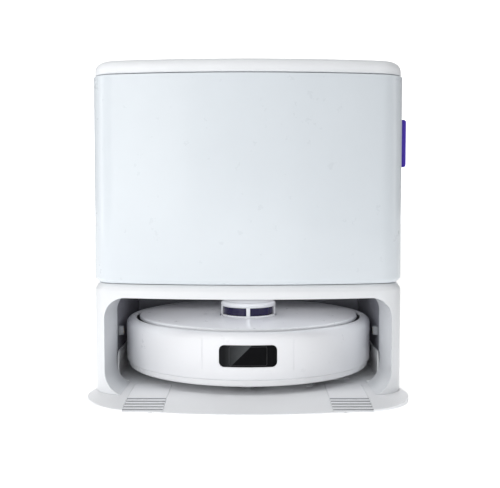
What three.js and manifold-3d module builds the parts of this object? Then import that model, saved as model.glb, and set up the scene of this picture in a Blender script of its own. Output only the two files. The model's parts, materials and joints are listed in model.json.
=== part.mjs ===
// A robot vacuum and mop docked in its base station.
// Millimetres, +Z up, front towards -Y. The origin is the centre of the footprint, on the floor.
import * as THREE from "three";
import { mergeVertices } from "three/addons/utils/BufferGeometryUtils.js";
import Module from "manifold-3d";

const wasm = await Module();
wasm.setup();

// ---- driving dimensions ------------------------------------------------------------------

const GAP = 0.3; // between neighbouring pieces that rest on each other
const SKIN = 3; // wall of the moulded casings
const DEGREE = Math.PI / 180;
const AXES = {
  x: new THREE.Vector3(1, 0, 0),
  y: new THREE.Vector3(0, 1, 0),
  z: new THREE.Vector3(0, 0, 1),
};

// Plan outline of the station's body: a bowed front, round front corners and rounded rear corners.
const BODY = { halfWidth: 198, frontY: -175, rearY: 232, bow: 750, frontR: 40, rearR: 30 };
// Plan outline of the tray's flared front.
const FLARE = { halfWidth: 204, frontY: -232, bow: 700, frontR: 70 };

const TRAY_BOTTOM = 1.5;
const TRACK_Z = 8.2; // the surface that the robot stands on
const RAMP = { topY: -165, frontY: -232, frontZ: 2.8 };
const PAD = { x: [102, 151], rearY: -95, frontY: -222, thick: 1.2 }; // grip pads on the track
const PAD_RIBS = { count: 5, firstY: -174, pitch: 10.3, halfWidth: 1.7, height: 0.7 };
const WASH = { halfWidth: 118, y: [30, 164], floorZ: 3.3 }; // tray under the mop pads
const FOOT = { halfLength: 150, halfWidth: 6, topZ: 2.4 };
const FOOT_Y = [-152, 196];

const HOUSING_TOP = 149; // the lower housing ends here
const GROOVE = { depth: 5, below: 8, above: 6 }; // V groove round the body above the lower housing
const DOOR = { bottomZ: 149.9, topZ: 411, thick: 4, endY: -113.2 };
const RIM_Z = 411.3; // top of the upper housing
const LID = { bottomZ: 412, topZ: 430, inset: 2 };
const ARCH = { halfWidth: 183, topZ: 132, topR: 28, bottomR: 30, bottomZ: 7.2 };
const REVEAL = { rearY: -60, taper: 3.2, wall: 1.8 }; // the arch's lip, running back into the bay
const GUIDE = { frontX: 160, frontY: -83.2, x: 181.8, straightY: -45, rearY: 100, thick: 2.5, topZ: 45 };
const CAVITY_REAR_Y = 190;
const REAR_PANEL = { halfWidth: 150, z: [32, 128] };
const INLET = { x: -110, z: 52, halfWidth: 15.5, halfHeight: 11.5 };
const DUCT = { x: -95, y: -90, radius: 15.6 };
const CONTACT = { y: [-25.5, -14.5], z: [63, 75], tipX: 176.5, endX: 190 };
const SHELF = { z: [206, 209], y: [-4, 213] };
const TANK = { x: [3, 188], y: [-4, 212], z: [209.3, 392], wall: 2.5, cornerR: 30 };
const DOOR_AXIS = { x: -195.4, y: -115, beadR: 2.6, pinR: 1.2, holeR: 1.55 };
const DOOR_LUGS = [192.5, 372.5]; // heights of the two hinge lugs' centres
const LUG_LENGTH = 15;
const LID_AXIS = { y: 220, z: 421, eyeR: 3.5, pinR: 2, holeR: 2.4 };
const LID_HINGE_X = 123;
const TAB = { z: [297, 358], y: [-119.6, -115.9], x: [190, 203.5] }; // the door's pull tab

const ROBOT_Y = 9; // the robot's centre
const ROBOT_R = 175;
const BUMPER = { bottomZ: 28.4, topZ: 88, thick: 3, lipR: 161, endY: 2 };
const WINDOW = { halfWidth: 36.5, z: [45.5, 73], cornerR: 6.5, thick: 1.3 }; // sensors' window
const DECK = { radius: 156.5, bottomZ: 86, topZ: 91 };
const CHASSIS = { bottomZ: 18.8, topZ: 28, radius: 172, plate: 3 };
const TOWER = { y: -22, radius: 39, floorZ: 83, sillZ: 93, capZ: 104, topZ: 111 };
const WHEEL = { x: 125, radius: 35, width: 20, z: 43.5 };
const CASTER = { y: -130, radius: 15, z: 23.6 };
const ROLLER = { y: -32, z: 31, radius: 21, halfLength: 75 };
const SIDE_BRUSH = { x: 92, y: -100, reach: 45, restTurn: 12 };
const MOP = { x: 66, y: 80, padR: 62, plateR: 58, padZ: 10.5, plateZ: 14.5, topZ: 18.4 };

// ---- solids ------------------------------------------------------------------------------

// A closed three.js geometry as a manifold solid, turned face out.
function solid(geometry) {
  const bare = geometry.clone();
  bare.deleteAttribute("normal");
  bare.deleteAttribute("uv");
  const merged = mergeVertices(bare, 1e-4);
  const made = manifoldOf(merged, false);
  return made.volume() < 0 ? manifoldOf(merged, true) : made;
}

function manifoldOf(geometry, reversed) {
  const triVerts = new Uint32Array(geometry.index.array);
  if (reversed) triVerts.reverse();
  const vertProperties = new Float32Array(geometry.attributes.position.array);
  return new wasm.Manifold(new wasm.Mesh({ numProp: 3, vertProperties, triVerts }));
}

function geometryOf(body) {
  const mesh = body.getMesh();
  const geometry = new THREE.BufferGeometry();
  geometry.setAttribute("position", new THREE.BufferAttribute(mesh.vertProperties, mesh.numProp));
  geometry.setIndex(new THREE.BufferAttribute(mesh.triVerts, 1));
  geometry.computeVertexNormals();
  return geometry;
}

function union(...bodies) {
  return bodies.reduce((sum, body) => sum.add(body));
}

function cut(body, ...tools) {
  return tools.reduce((left, tool) => left.subtract(tool), body);
}

function box(x, y, z) {
  const geometry = new THREE.BoxGeometry(x[1] - x[0], y[1] - y[0], z[1] - z[0]);
  geometry.translate((x[0] + x[1]) / 2, (y[0] + y[1]) / 2, (z[0] + z[1]) / 2);
  return solid(geometry);
}

function cylinder(axis, centre, radius, length, sides = 24) {
  const geometry = new THREE.CylinderGeometry(radius, radius, length, sides);
  if (axis === "x") geometry.rotateZ(Math.PI / 2);
  if (axis === "z") geometry.rotateX(Math.PI / 2);
  geometry.translate(...centre);
  return solid(geometry);
}

// A profile of [radius, height] points turned about +Z.
function turned(profile, sides) {
  const points = [...profile, profile[0]].map(([r, z]) => new THREE.Vector2(r, z));
  const geometry = new THREE.LatheGeometry(points, sides);
  geometry.rotateX(Math.PI / 2);
  return solid(geometry);
}

function extruded(shape, length, arcs) {
  return new THREE.ExtrudeGeometry(shape, { depth: length, bevelEnabled: false, curveSegments: arcs });
}

// A shape in the XY plane, standing from z[0] to z[1].
function alongZ(shape, z, arcs = 4) {
  const geometry = extruded(shape, z[1] - z[0], arcs);
  geometry.translate(0, 0, z[0]);
  return solid(geometry);
}

// A shape in the XZ plane, running from y[0] to y[1].
function alongY(shape, y, arcs = 4) {
  const geometry = extruded(shape, y[1] - y[0], arcs);
  geometry.rotateX(Math.PI / 2);
  geometry.translate(0, y[1], 0);
  return solid(geometry);
}

// A shape in the YZ plane, running from x[0] to x[1].
function alongX(shape, x, arcs = 4) {
  const geometry = extruded(shape, x[1] - x[0], arcs);
  const basis = new THREE.Matrix4().makeBasis(
    new THREE.Vector3(0, 1, 0),
    new THREE.Vector3(0, 0, 1),
    new THREE.Vector3(1, 0, 0),
  );
  geometry.applyMatrix4(basis);
  geometry.translate(x[0], 0, 0);
  return solid(geometry);
}

function polygon(points) {
  return new THREE.Shape(points.map(([a, b]) => new THREE.Vector2(a, b)));
}

// A rounded rectangle, with one radius for its low corners and one for its high ones.
function roundedRect(a, b, lowR, highR = lowR) {
  const shape = new THREE.Shape();
  shape.absarc(a[1] - lowR, b[0] + lowR, lowR, -Math.PI / 2, 0);
  shape.absarc(a[1] - highR, b[1] - highR, highR, 0, Math.PI / 2);
  shape.absarc(a[0] + highR, b[1] - highR, highR, Math.PI / 2, Math.PI);
  shape.absarc(a[0] + lowR, b[0] + lowR, lowR, Math.PI, 1.5 * Math.PI);
  return shape;
}

// The body moved by a three.js matrix.
function placed(body, matrix) {
  return solid(geometryOf(body).applyMatrix4(matrix));
}

function shifted(body, x, y, z) {
  return placed(body, new THREE.Matrix4().makeTranslation(x, y, z));
}

function spun(body, axis, degrees) {
  return placed(body, new THREE.Matrix4().makeRotationAxis(AXES[axis], degrees * DEGREE));
}

function mirrored(body, side) {
  return side < 0 ? placed(body, new THREE.Matrix4().makeScale(-1, 1, 1)) : body;
}

// ---- the station's outlines --------------------------------------------------------------

// The bow's centre height, the front corner's centre, and the angle where bow and corner meet.
function frontCorner(plan) {
  const bowY = plan.frontY + plan.bow;
  const x = plan.halfWidth - plan.frontR;
  const y = bowY - Math.sqrt((plan.bow - plan.frontR) ** 2 - x ** 2);
  return { bowY, x, y, angle: Math.atan2(y - bowY, x) };
}

function bodyOutline(inset) {
  const corner = frontCorner(BODY);
  const rearX = BODY.halfWidth - BODY.rearR;
  const rearY = BODY.rearY - BODY.rearR;
  const shape = new THREE.Shape();
  shape.absarc(0, corner.bowY, BODY.bow - inset, -Math.PI - corner.angle, corner.angle);
  shape.absarc(corner.x, corner.y, BODY.frontR - inset, corner.angle, 0);
  shape.absarc(rearX, rearY, BODY.rearR - inset, 0, Math.PI / 2);
  shape.absarc(-rearX, rearY, BODY.rearR - inset, Math.PI / 2, Math.PI);
  shape.absarc(-corner.x, corner.y, BODY.frontR - inset, Math.PI, Math.PI - corner.angle);
  return shape;
}

function trayOutline() {
  const corner = frontCorner(FLARE);
  const neckY = frontCorner(BODY).y;
  const rearX = BODY.halfWidth - BODY.rearR;
  const rearY = BODY.rearY - BODY.rearR;
  const shape = new THREE.Shape();
  shape.absarc(0, corner.bowY, FLARE.bow, -Math.PI - corner.angle, corner.angle);
  shape.absarc(corner.x, corner.y, FLARE.frontR, corner.angle, 0);
  shape.quadraticCurveTo(FLARE.halfWidth, neckY - 14, BODY.halfWidth, neckY + 6);
  shape.absarc(rearX, rearY, BODY.rearR, 0, Math.PI / 2);
  shape.absarc(-rearX, rearY, BODY.rearR, Math.PI / 2, Math.PI);
  shape.lineTo(-BODY.halfWidth, neckY + 6);
  shape.quadraticCurveTo(-FLARE.halfWidth, neckY - 14, -FLARE.halfWidth, corner.y);
  shape.absarc(-corner.x, corner.y, FLARE.frontR, Math.PI, Math.PI - corner.angle);
  return shape;
}

// A solid skinned over body outlines, given as [inset, z] levels from the bottom up.
function bodyLoft(levels) {
  return lofted(levels.map(([inset, z]) => outlineAt(bodyOutline(inset), z)));
}

function outlineAt(shape, z, share = 1) {
  const points = shape.getPoints(4);
  const unique = points.filter((p, i) => p.distanceTo(points[(i + 1) % points.length]) > 1e-3);
  return unique.map((p) => new THREE.Vector3(p.x * share, p.y * share, z));
}

// A solid skinned over rings that have the same number of points, from the bottom up.
function lofted(rings) {
  const count = rings[0].length;
  const faces = THREE.ShapeUtils.triangulateShape(rings[0], []);
  const top = (rings.length - 1) * count;
  const index = [];
  for (const [a, b, c] of faces) {
    index.push(a, c, b);
    index.push(top + a, top + b, top + c);
  }
  for (let level = 0; level + 1 < rings.length; level++) {
    for (let i = 0; i < count; i++) {
      const a = level * count + i;
      const b = level * count + ((i + 1) % count);
      index.push(a, b, b + count);
      index.push(a, b + count, a + count);
    }
  }
  const geometry = new THREE.BufferGeometry().setFromPoints(rings.flat());
  geometry.setIndex(index);
  return solid(geometry);
}

// ---- the base tray -----------------------------------------------------------------------

function rampZ(y) {
  const share = Math.max(0, (RAMP.topY - y) / (RAMP.topY - RAMP.frontY));
  return TRACK_Z - share * (TRACK_Z - RAMP.frontZ);
}

function footShape(y, grow) {
  const half = FOOT.halfWidth + grow;
  const reach = FOOT.halfLength + grow;
  return roundedRect([-reach, reach], [y - half, y + half], half - 0.1);
}

// The pad's section along the track, lowered and lengthened by grow to make its recess.
function padSection(grow) {
  const upper = grow ? 5 : 0;
  const lower = PAD.thick + grow;
  return polygon([
    [PAD.rearY + grow, TRACK_Z + upper],
    [PAD.rearY + grow, TRACK_Z - lower],
    [RAMP.topY, TRACK_Z - lower],
    [PAD.frontY - grow, rampZ(PAD.frontY) - lower],
    [PAD.frontY - grow, rampZ(PAD.frontY) + upper],
    [RAMP.topY, TRACK_Z + upper],
  ]);
}

function baseTray() {
  const ahead = RAMP.frontY - 8;
  const ramp = polygon([
    [RAMP.topY, TRACK_Z],
    [RAMP.topY, 20],
    [ahead, 20],
    [ahead, rampZ(ahead)],
  ]);
  const recess = alongX(padSection(GAP), [PAD.x[0] - GAP, PAD.x[1] + GAP]);
  const reach = WASH.halfWidth + GAP;
  return cut(
    alongZ(trayOutline(), [TRAY_BOTTOM, TRACK_Z], 5),
    alongX(ramp, [-210, 210]),
    recess,
    mirrored(recess, -1),
    alongZ(roundedRect([-reach, reach], [WASH.y[0] - GAP, WASH.y[1] + GAP], 15), [3, 20]),
    ...FOOT_Y.map((y) => alongZ(footShape(y, GAP), [0, FOOT.topZ + GAP])),
  );
}

function rubberFoot(y) {
  return alongZ(footShape(y, 0), [0, FOOT.topZ]);
}

// A grip pad set flush in the track, with five ribs across the ramp.
function trackPad(side) {
  const { count, firstY, pitch, halfWidth, height } = PAD_RIBS;
  const ribs = [];
  for (let i = 0; i < count; i++) {
    const y = firstY - pitch * i;
    ribs.push(box(PAD.x, [y - halfWidth, y + halfWidth], [rampZ(y) - 0.8, rampZ(y) + height]));
  }
  return mirrored(union(alongX(padSection(0), PAD.x), ...ribs), side);
}

function washingTray() {
  const outer = WASH.halfWidth;
  const inner = outer - 2;
  const ribs = [-96, -64, -32, 32, 64, 96].map((x) =>
    box([x - 1.5, x + 1.5], [WASH.y[0] + 14, WASH.y[1] - 14], [4.4, 7.4]),
  );
  const rim = cut(
    alongZ(roundedRect([-outer, outer], WASH.y, 15), [WASH.floorZ, TRACK_Z]),
    alongZ(roundedRect([-inner, inner], [WASH.y[0] + 2, WASH.y[1] - 2], 13), [4.6, 20]),
  );
  return union(rim, ...ribs);
}

// The guide cheek's outer face in plan, from its front end to its rear end, moved out by grow.
function guideFace(grow = 0) {
  const { frontX, frontY, x, straightY, rearY } = GUIDE;
  const shape = new THREE.Shape();
  shape.moveTo(frontX, frontY - grow);
  shape.quadraticCurveTo(x + grow, frontY + 3 - grow, x + grow, straightY);
  shape.lineTo(x + grow, rearY);
  return shape;
}

// A cheek that steers the robot in: it sweeps in to the track and dips low at its front end.
function guideCheek(side) {
  const { frontX, frontY, x, straightY, rearY, thick, topZ } = GUIDE;
  const outer = guideFace();
  outer.lineTo(x - thick, rearY);
  outer.lineTo(x - thick, straightY);
  outer.quadraticCurveTo(x - thick - 1.3, frontY + 5, frontX, frontY + thick);
  const dip = new THREE.Shape();
  dip.moveTo(-100, 10);
  dip.lineTo(-83, 10.5);
  dip.lineTo(-66, 17.5);
  dip.quadraticCurveTo(-54, 22, -48, topZ + 0.5);
  dip.lineTo(-100, topZ + 0.5);
  const cheek = cut(alongZ(outer, [TRACK_Z + GAP, topZ]), alongX(dip, [150, 190]));
  return mirrored(cheek, side);
}

// ---- the lower housing -------------------------------------------------------------------

function archShape(grow = 0) {
  const reach = ARCH.halfWidth + grow;
  return roundedRect([-reach, reach], [ARCH.bottomZ, ARCH.topZ + grow], ARCH.bottomR, ARCH.topR + grow);
}

// The arch's lip, which runs back into the bay and tapers in a little.
function archReveal() {
  const { rearY, taper, wall } = REVEAL;
  const rings = [outlineAt(archShape(), -200), outlineAt(archShape(-taper), rearY)];
  const swap = new THREE.Matrix4().makeBasis(AXES.x, AXES.z, AXES.y);
  const opening = placed(lofted(rings), swap);
  const reach = ARCH.halfWidth + wall;
  const outside = roundedRect([-reach, reach], [TRACK_Z + GAP, ARCH.topZ + wall], 0.1, ARCH.topR + wall);
  const plan = guideFace(0.6);
  plan.lineTo(0, GUIDE.rearY);
  plan.lineTo(0, GUIDE.frontY - 0.6);
  const guideRoom = alongZ(plan, [0, GUIDE.topZ + 1]);
  const room = DUCT.radius + 0.6;
  return cut(
    alongY(outside, [-200, rearY]),
    opening,
    box([DUCT.x - room, DUCT.x + room], [DUCT.y - room, DUCT.y + room], [120, 140]),
    guideRoom,
    mirrored(guideRoom, -1),
  ).intersect(bodyLoft([[1, 0], [1, 140]]));
}

function lowerHousing() {
  const shell = bodyLoft([
    [0, TRACK_Z + GAP],
    [0, HOUSING_TOP - GROOVE.below],
    [GROOVE.depth, HOUSING_TOP],
  ]);
  const [low, high] = REAR_PANEL.z;
  const panel = roundedRect([-REAR_PANEL.halfWidth, REAR_PANEL.halfWidth], [low, high], 8);
  const walls = cut(
    shell,
    bodyLoft([[SKIN, 0], [SKIN, HOUSING_TOP - 11]]),
    bodyLoft([[14, 100], [14, 160]]),
    alongY(archShape(), [-200, -100]),
    alongY(panel, [BODY.rearY - 10, BODY.rearY + 10]),
  );
  return union(walls, archReveal());
}

// The lining of the robot's bay: two walls, a ceiling and a back wall.
function cavityLiner() {
  const wall = REVEAL.wall;
  const low = TRACK_Z + GAP;
  const reach = ARCH.halfWidth + wall;
  const outside = roundedRect([-reach, reach], [-40, ARCH.topZ + wall], 5, ARCH.topR + wall);
  const inside = roundedRect([-ARCH.halfWidth, ARCH.halfWidth], [-40, ARCH.topZ], 5, ARCH.topR);
  const tunnel = cut(
    alongY(outside, [REVEAL.rearY + GAP, CAVITY_REAR_Y + wall]),
    alongY(inside, [-200, CAVITY_REAR_Y]),
    box([-250, 250], [-250, 250], [-60, low]),
  );
  const [front, back] = CONTACT.y;
  const [under, over] = CONTACT.z;
  const window = box([180, 188], [front - 0.6, back + 0.6], [under - 0.6, over + 0.6]);
  return cut(
    tunnel.intersect(bodyLoft([[SKIN + GAP, 0], [SKIN + GAP, 137]])),
    window,
    mirrored(window, -1),
  );
}

function rearCover() {
  const reach = REAR_PANEL.halfWidth - GAP;
  const panel = roundedRect([-reach, reach], [REAR_PANEL.z[0] + GAP, REAR_PANEL.z[1] - GAP], 7.7);
  const through = [BODY.rearY - 20, BODY.rearY + 10];
  const louvres = [0, 1, 2, 3, 4].map((i) => box([40, 120], through, [56 + 11 * i, 60 + 11 * i]));
  const { x, z, halfWidth, halfHeight } = INLET;
  const wide = halfWidth + GAP;
  const high = halfHeight + GAP;
  const mouth = box([x - wide, x + wide], through, [z - high, z + high]);
  return cut(alongY(panel, [BODY.rearY - 3.3, BODY.rearY - 0.3]), mouth, ...louvres);
}

// A two-pin mains inlet.
function powerInlet() {
  const { x, z, halfWidth, halfHeight } = INLET;
  const rear = BODY.rearY - GAP;
  const block = box([x - halfWidth, x + halfWidth], [rear - 16, rear], [z - halfHeight, z + halfHeight]);
  const socket = alongY(roundedRect([x - 11, x + 11], [z - 7, z + 7], 6.9), [rear - 13, rear + 5]);
  const pins = [-4, 4].map((dx) => cylinder("y", [x + dx, rear - 9, z], 1.4, 9, 12));
  return union(cut(block, socket), ...pins);
}

function chargingContact(side) {
  const block = alongX(roundedRect(CONTACT.y, CONTACT.z, 2), [CONTACT.tipX, CONTACT.endX]);
  const tip = cylinder("z", [CONTACT.tipX + 2, -20, 69], 3, 16, 8);
  const nose = cut(block, box([170, CONTACT.tipX + 2], [-30, -10], [60, 80]));
  return mirrored(union(nose, block.intersect(tip)), side);
}

// ---- the upper housing -------------------------------------------------------------------

function tankDeck() {
  return cut(
    bodyLoft([[10.5, HOUSING_TOP + GAP], [10.5, 152.3]]),
    cylinder("z", [DUCT.x, DUCT.y, 150], 20, 20),
  );
}

// One eye of the lid's hinge: a foot on the rear wall, a stem, and a round head about the axis.
function lidBracket(side) {
  const { y, z, eyeR } = LID_AXIS;
  const x = [LID_HINGE_X - 5, LID_HINGE_X + 5];
  const bracket = union(
    box(x, [y - 3, y + 3], [386, z]),
    box(x, [y - 3, BODY.rearY - 2], [382, 392]),
    cylinder("x", [LID_HINGE_X, y, z], eyeR, 10),
  );
  return mirrored(cut(bracket, lidPinHole()), side);
}

function lidPinHole() {
  return cylinder("x", [LID_HINGE_X, LID_AXIS.y, LID_AXIS.z], LID_AXIS.holeR, 40, 16);
}

function doorLug(z) {
  const { x, y, beadR, holeR } = DOOR_AXIS;
  const span = [z - LUG_LENGTH / 2, z + LUG_LENGTH / 2];
  const lug = union(
    cylinder("z", [x, y, z], beadR, LUG_LENGTH, 16),
    box([x - beadR, x + beadR], [y, -108], span),
  );
  return cut(lug, cylinder("z", [x, y, z], holeR, 40, 12));
}

// Side walls and rear wall behind the door, with the hinge lugs and the lid's brackets.
function upperHousing() {
  const levels = [
    [GROOVE.depth, HOUSING_TOP + GAP],
    [0, HOUSING_TOP + GROOVE.above],
    [0, RIM_Z],
  ];
  const walls = cut(
    bodyLoft(levels),
    bodyLoft([[9.2, 140], [9.2, 155]]),
    bodyLoft([[SKIN, 154], [SKIN, 420]]),
    box([-250, 250], [-250, -111.8], [100, 450]),
  );
  const pillar = box([178, 196], [-111.8, -106], [154, 405]);
  return union(
    walls,
    pillar,
    mirrored(pillar, -1),
    ...DOOR_LUGS.map(doorLug),
    lidBracket(1),
    lidBracket(-1),
  );
}

function tankPartition() {
  return box([-186, 186], [-12, -9], [152.6, 405]);
}

// A bridge over the machinery that carries the two water tanks.
function tankShelf() {
  const [front, rear] = SHELF.y;
  const [under, top] = SHELF.z;
  const section = polygon([
    [front, 152.6],
    [front + 3, 152.6],
    [front + 3, under],
    [rear - 3, under],
    [rear - 3, 152.6],
    [rear, 152.6],
    [rear, top],
    [front, top],
  ]);
  return alongX(section, [-160, 160]);
}

function tank(side) {
  const { x, y, z, wall, cornerR } = TANK;
  const inner = roundedRect([x[0] + wall, x[1] - wall], [y[0] + wall, y[1] - wall], 6, cornerR - wall);
  return mirrored(
    cut(
      alongZ(roundedRect(x, y, 8, cornerR), z),
      alongZ(inner, [z[0] + wall, z[1] + 5]),
    ),
    side,
  );
}

// The tank's cap, with its carrying handle folded down in the middle.
function tankCap(side) {
  const { x, y, z } = TANK;
  const plate = alongZ(roundedRect(x, y, 8, TANK.cornerR), [z[1] + GAP, z[1] + 4]);
  const centreX = (x[0] + x[1]) / 2;
  const bow = cut(
    alongZ(roundedRect([centreX - 55, centreX + 55], [60, 130], 12), [z[1] + 3, z[1] + 10]),
    alongZ(roundedRect([centreX - 43, centreX + 43], [50, 118], 8), [z[1] + 4, z[1] + 20]),
  );
  return mirrored(union(plate, bow), side);
}

function tankFloat() {
  return cylinder("z", [100, 60, 222], 16, 18);
}

function dustBagCollar() {
  const plate = alongZ(roundedRect([-150, -40], [-135, -45], 6), [168, 171.5]);
  return cut(plate, cylinder("z", [DUCT.x, DUCT.y, 170], 14, 20));
}

// The full bag bulges at mid height and pulls in towards its mouth and its top.
function dustBag() {
  const levels = [[0.72, 172], [0.94, 190], [1, 235], [1, 290], [0.92, 330], [0.62, 350]];
  const outline = roundedRect([-70, 70], [-54, 54], 24);
  const bag = lofted(levels.map(([share, z]) => outlineAt(outline, z, share)));
  return shifted(bag, -96, -84, 0);
}

function suctionDuct() {
  const { x, y, radius } = DUCT;
  const bore = 13;
  const tube = turned(
    [
      [bore, 132.2],
      [radius, 132.2],
      [radius, 152.6],
      [24, 152.6],
      [24, 155.6],
      [radius, 155.6],
      [radius, 167.6],
      [bore, 167.6],
    ],
    20,
  );
  return shifted(tube, x, y, 0);
}

const CARTRIDGE = { x: [62, 166], y: [-132, -36], z: [152.6, 318], neck: [114, -84] };

function detergentCartridge() {
  const { x, y, z, neck } = CARTRIDGE;
  const wall = 2.5;
  const inner = roundedRect([x[0] + wall, x[1] - wall], [y[0] + wall, y[1] - wall], 11.5);
  const bottle = union(
    alongZ(roundedRect(x, y, 14), z),
    cylinder("z", [...neck, z[1] + 5], 16, 14),
  );
  return cut(
    bottle,
    alongZ(inner, [z[0] + wall, z[1] - wall]),
    cylinder("z", [...neck, z[1]], 12, 60),
  );
}

function cartridgeCap() {
  const top = CARTRIDGE.z[1];
  const cap = turned(
    [
      [0, top + 18],
      [18, top + 18],
      [19.5, top + 16],
      [19.5, top + 2],
      [16.6, top + 2],
      [16.6, top + 14],
      [0, top + 14],
    ],
    20,
  );
  return shifted(cap, ...CARTRIDGE.neck, 0);
}

// A centrifugal blower: a round scroll with a square outlet.
function stationFan() {
  const scroll = turned([[0, 153], [52, 153], [52, 186], [46, 190], [24, 190], [24, 200], [0, 200]], 24);
  return union(shifted(scroll, 70, 95, 0), box([104, 150], [100, 144], [156, 186]));
}

function waterPump() {
  return union(
    box([-150, -84], [60, 110], [153, 178]),
    cylinder("x", [-64, 85, 168], 14, 44),
  );
}

// ---- the door and the lid ----------------------------------------------------------------

function frontDoor() {
  const { x, y, beadR, holeR } = DOOR_AXIS;
  const shell = bodyLoft([
    [GROOVE.depth, DOOR.bottomZ],
    [0, HOUSING_TOP + GROOVE.above],
    [0, DOOR.topZ],
  ]);
  const panel = cut(
    shell,
    bodyLoft([[9, 140], [9, 155]]),
    bodyLoft([[DOOR.thick, 153], [DOOR.thick, 420]]),
    box([-250, 250], [DOOR.endY, 250], [100, 450]),
  );
  const beadZ = [HOUSING_TOP + GROOVE.above, DOOR.topZ];
  const bead = cylinder("z", [x, y, (beadZ[0] + beadZ[1]) / 2], beadR, beadZ[1] - beadZ[0], 16);
  const notches = DOOR_LUGS.map((z) =>
    box([-200, -190], [y - 4.5, -110], [z - LUG_LENGTH / 2 - 0.6, z + LUG_LENGTH / 2 + 0.6]),
  );
  const holes = DOOR_LUGS.map((z) => cylinder("z", [x, y, z], holeR, 43, 12));
  const slot = box([192, 200], [TAB.y[0] - 0.4, TAB.y[1] + 0.4], [TAB.z[0] - 0.4, TAB.z[1] + 0.4]);
  return cut(union(panel, bead), ...notches, ...holes, slot);
}

function doorPin(z) {
  return cylinder("z", [DOOR_AXIS.x, DOOR_AXIS.y, z], DOOR_AXIS.pinR, 42, 12);
}

// A flat pull tab that comes out through a slot in the door's edge, held by a flange inside it.
function pullTab() {
  const tongue = alongY(roundedRect(TAB.x, TAB.z, 3), TAB.y);
  const flange = box([190, 193], [-122.5, TAB.y[1]], [292, 363]);
  return union(tongue, flange);
}

function topLid() {
  const { bottomZ, topZ, inset } = LID;
  const shell = bodyLoft([
    [inset + 1.5, bottomZ],
    [inset, bottomZ + 1.2],
    [inset, topZ - 11],
    [inset + 1.3, topZ - 6],
    [inset + 5, topZ - 2],
    [inset + 12, topZ],
  ]);
  const hollow = bodyLoft([[8, bottomZ - 1], [8, topZ - 5]]);
  const { y, z } = LID_AXIS;
  const sides = [-1, 1];
  const cheeks = [[-13, -7], [7, 13]].map((dx) =>
    box([LID_HINGE_X + dx[0], LID_HINGE_X + dx[1]], [y - 4, y + 4.5], [z - 4, topZ - 4]),
  );
  const notch = box([LID_HINGE_X - 6.5, LID_HINGE_X + 6.5], [y - 5, y + 20], [bottomZ - 1, z + 4]);
  const hinges = sides.map((side) => mirrored(union(...cheeks), side));
  return cut(
    union(cut(shell, hollow), ...hinges),
    ...sides.map((side) => mirrored(notch, side)),
    ...sides.map((side) => mirrored(lidPinHole(), side)),
  );
}

function lidPin(side) {
  return cylinder("x", [side * LID_HINGE_X, LID_AXIS.y, LID_AXIS.z], LID_AXIS.pinR, 25, 16);
}

// ---- the robot's casing, about its own centre --------------------------------------------

const ROBOT_SIDES = 48;

function robotChassis() {
  const { bottomZ, topZ, radius, plate } = CHASSIS;
  const pan = turned(
    [
      [0, bottomZ],
      [radius - 2, bottomZ],
      [radius, bottomZ + 2],
      [radius, topZ],
      [162, topZ],
      [162, bottomZ + plate],
      [0, bottomZ + plate],
    ],
    ROBOT_SIDES,
  );
  const cup = turned([[20.5, 20], [24, 20], [24, 50], [0, 50], [0, 46.5], [20.5, 46.5]], 32);
  const through = [10, 26];
  const wheelWells = [-1, 1].map((side) => mirrored(box([111, 139], [-39, 39], through), side));
  const mopHoles = [-1, 1].map((side) => cylinder("z", [side * MOP.x, MOP.y, 20], 5.8, 20));
  return cut(
    union(pan, shifted(cup, 0, CASTER.y, 0)),
    cylinder("z", [0, CASTER.y, 20], 20.5, 10, 32),
    cylinder("z", [0, CASTER.y, 48], 4.5, 10),
    cylinder("z", [SIDE_BRUSH.x, SIDE_BRUSH.y, 20], 3.8, 20),
    box([-80, 80], [ROLLER.y - 25, ROLLER.y + 25], through),
    ...wheelWells,
    ...mopHoles,
  );
}

// The ring wall behind the bumper, with the seat of the deck cover.
function robotFrame() {
  return turned(
    [
      [162.4, 28.3],
      [165.4, 28.3],
      [165.4, 34],
      [167.5, 36.5],
      [167.5, 76],
      [160.5, 82.5],
      [156.8, 82.5],
      [156.8, 85.7],
      [146, 85.7],
      [146, 83],
      [154, 80],
      [164.5, 72],
      [164.5, 37],
      [162.4, 34.5],
    ],
    ROBOT_SIDES,
  );
}

// The outer wall that bumper and rear shell share, with its rounded shoulder.
function sideWall() {
  const { bottomZ, topZ, thick, lipR } = BUMPER;
  const shoulder = [];
  for (let i = 0; i <= 4; i++) {
    const angle = (i / 4) * 90 * DEGREE;
    shoulder.push([ROBOT_R - 9.5 * (1 - Math.cos(angle)), topZ - 9.5 * (1 - Math.sin(angle))]);
  }
  const profile = [
    [ROBOT_R - 5, bottomZ],
    [ROBOT_R - 2, bottomZ],
    [ROBOT_R, bottomZ + 2.5],
    ...shoulder,
    [lipR, topZ],
    [lipR, topZ - thick],
    [lipR + 4, topZ - thick - 0.4],
    [ROBOT_R - thick - 0.5, topZ - 10],
    [ROBOT_R - thick, topZ - 11],
    [ROBOT_R - thick, bottomZ + 4],
  ];
  return turned(profile, ROBOT_SIDES);
}

function windowPrism(grow) {
  const reach = WINDOW.halfWidth + grow;
  const shape = roundedRect([-reach, reach], [WINDOW.z[0] - grow, WINDOW.z[1] + grow], WINDOW.cornerR + grow);
  return alongY(shape, [-190, -150]);
}

function bumper() {
  const front = sideWall().intersect(box([-200, 200], [-200, BUMPER.endY], [0, 120]));
  const recessR = ROBOT_R - WINDOW.thick - 0.4;
  const recess = cut(windowPrism(GAP), cylinder("z", [0, 0, 60], recessR, 90, ROBOT_SIDES));
  return cut(front, recess);
}

function sensorWindow() {
  const outer = cylinder("z", [0, 0, 60], ROBOT_R - 0.1, 90, ROBOT_SIDES);
  const inner = cylinder("z", [0, 0, 60], ROBOT_R - 0.1 - WINDOW.thick, 90, ROBOT_SIDES);
  return cut(windowPrism(0).intersect(outer), inner);
}

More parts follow.
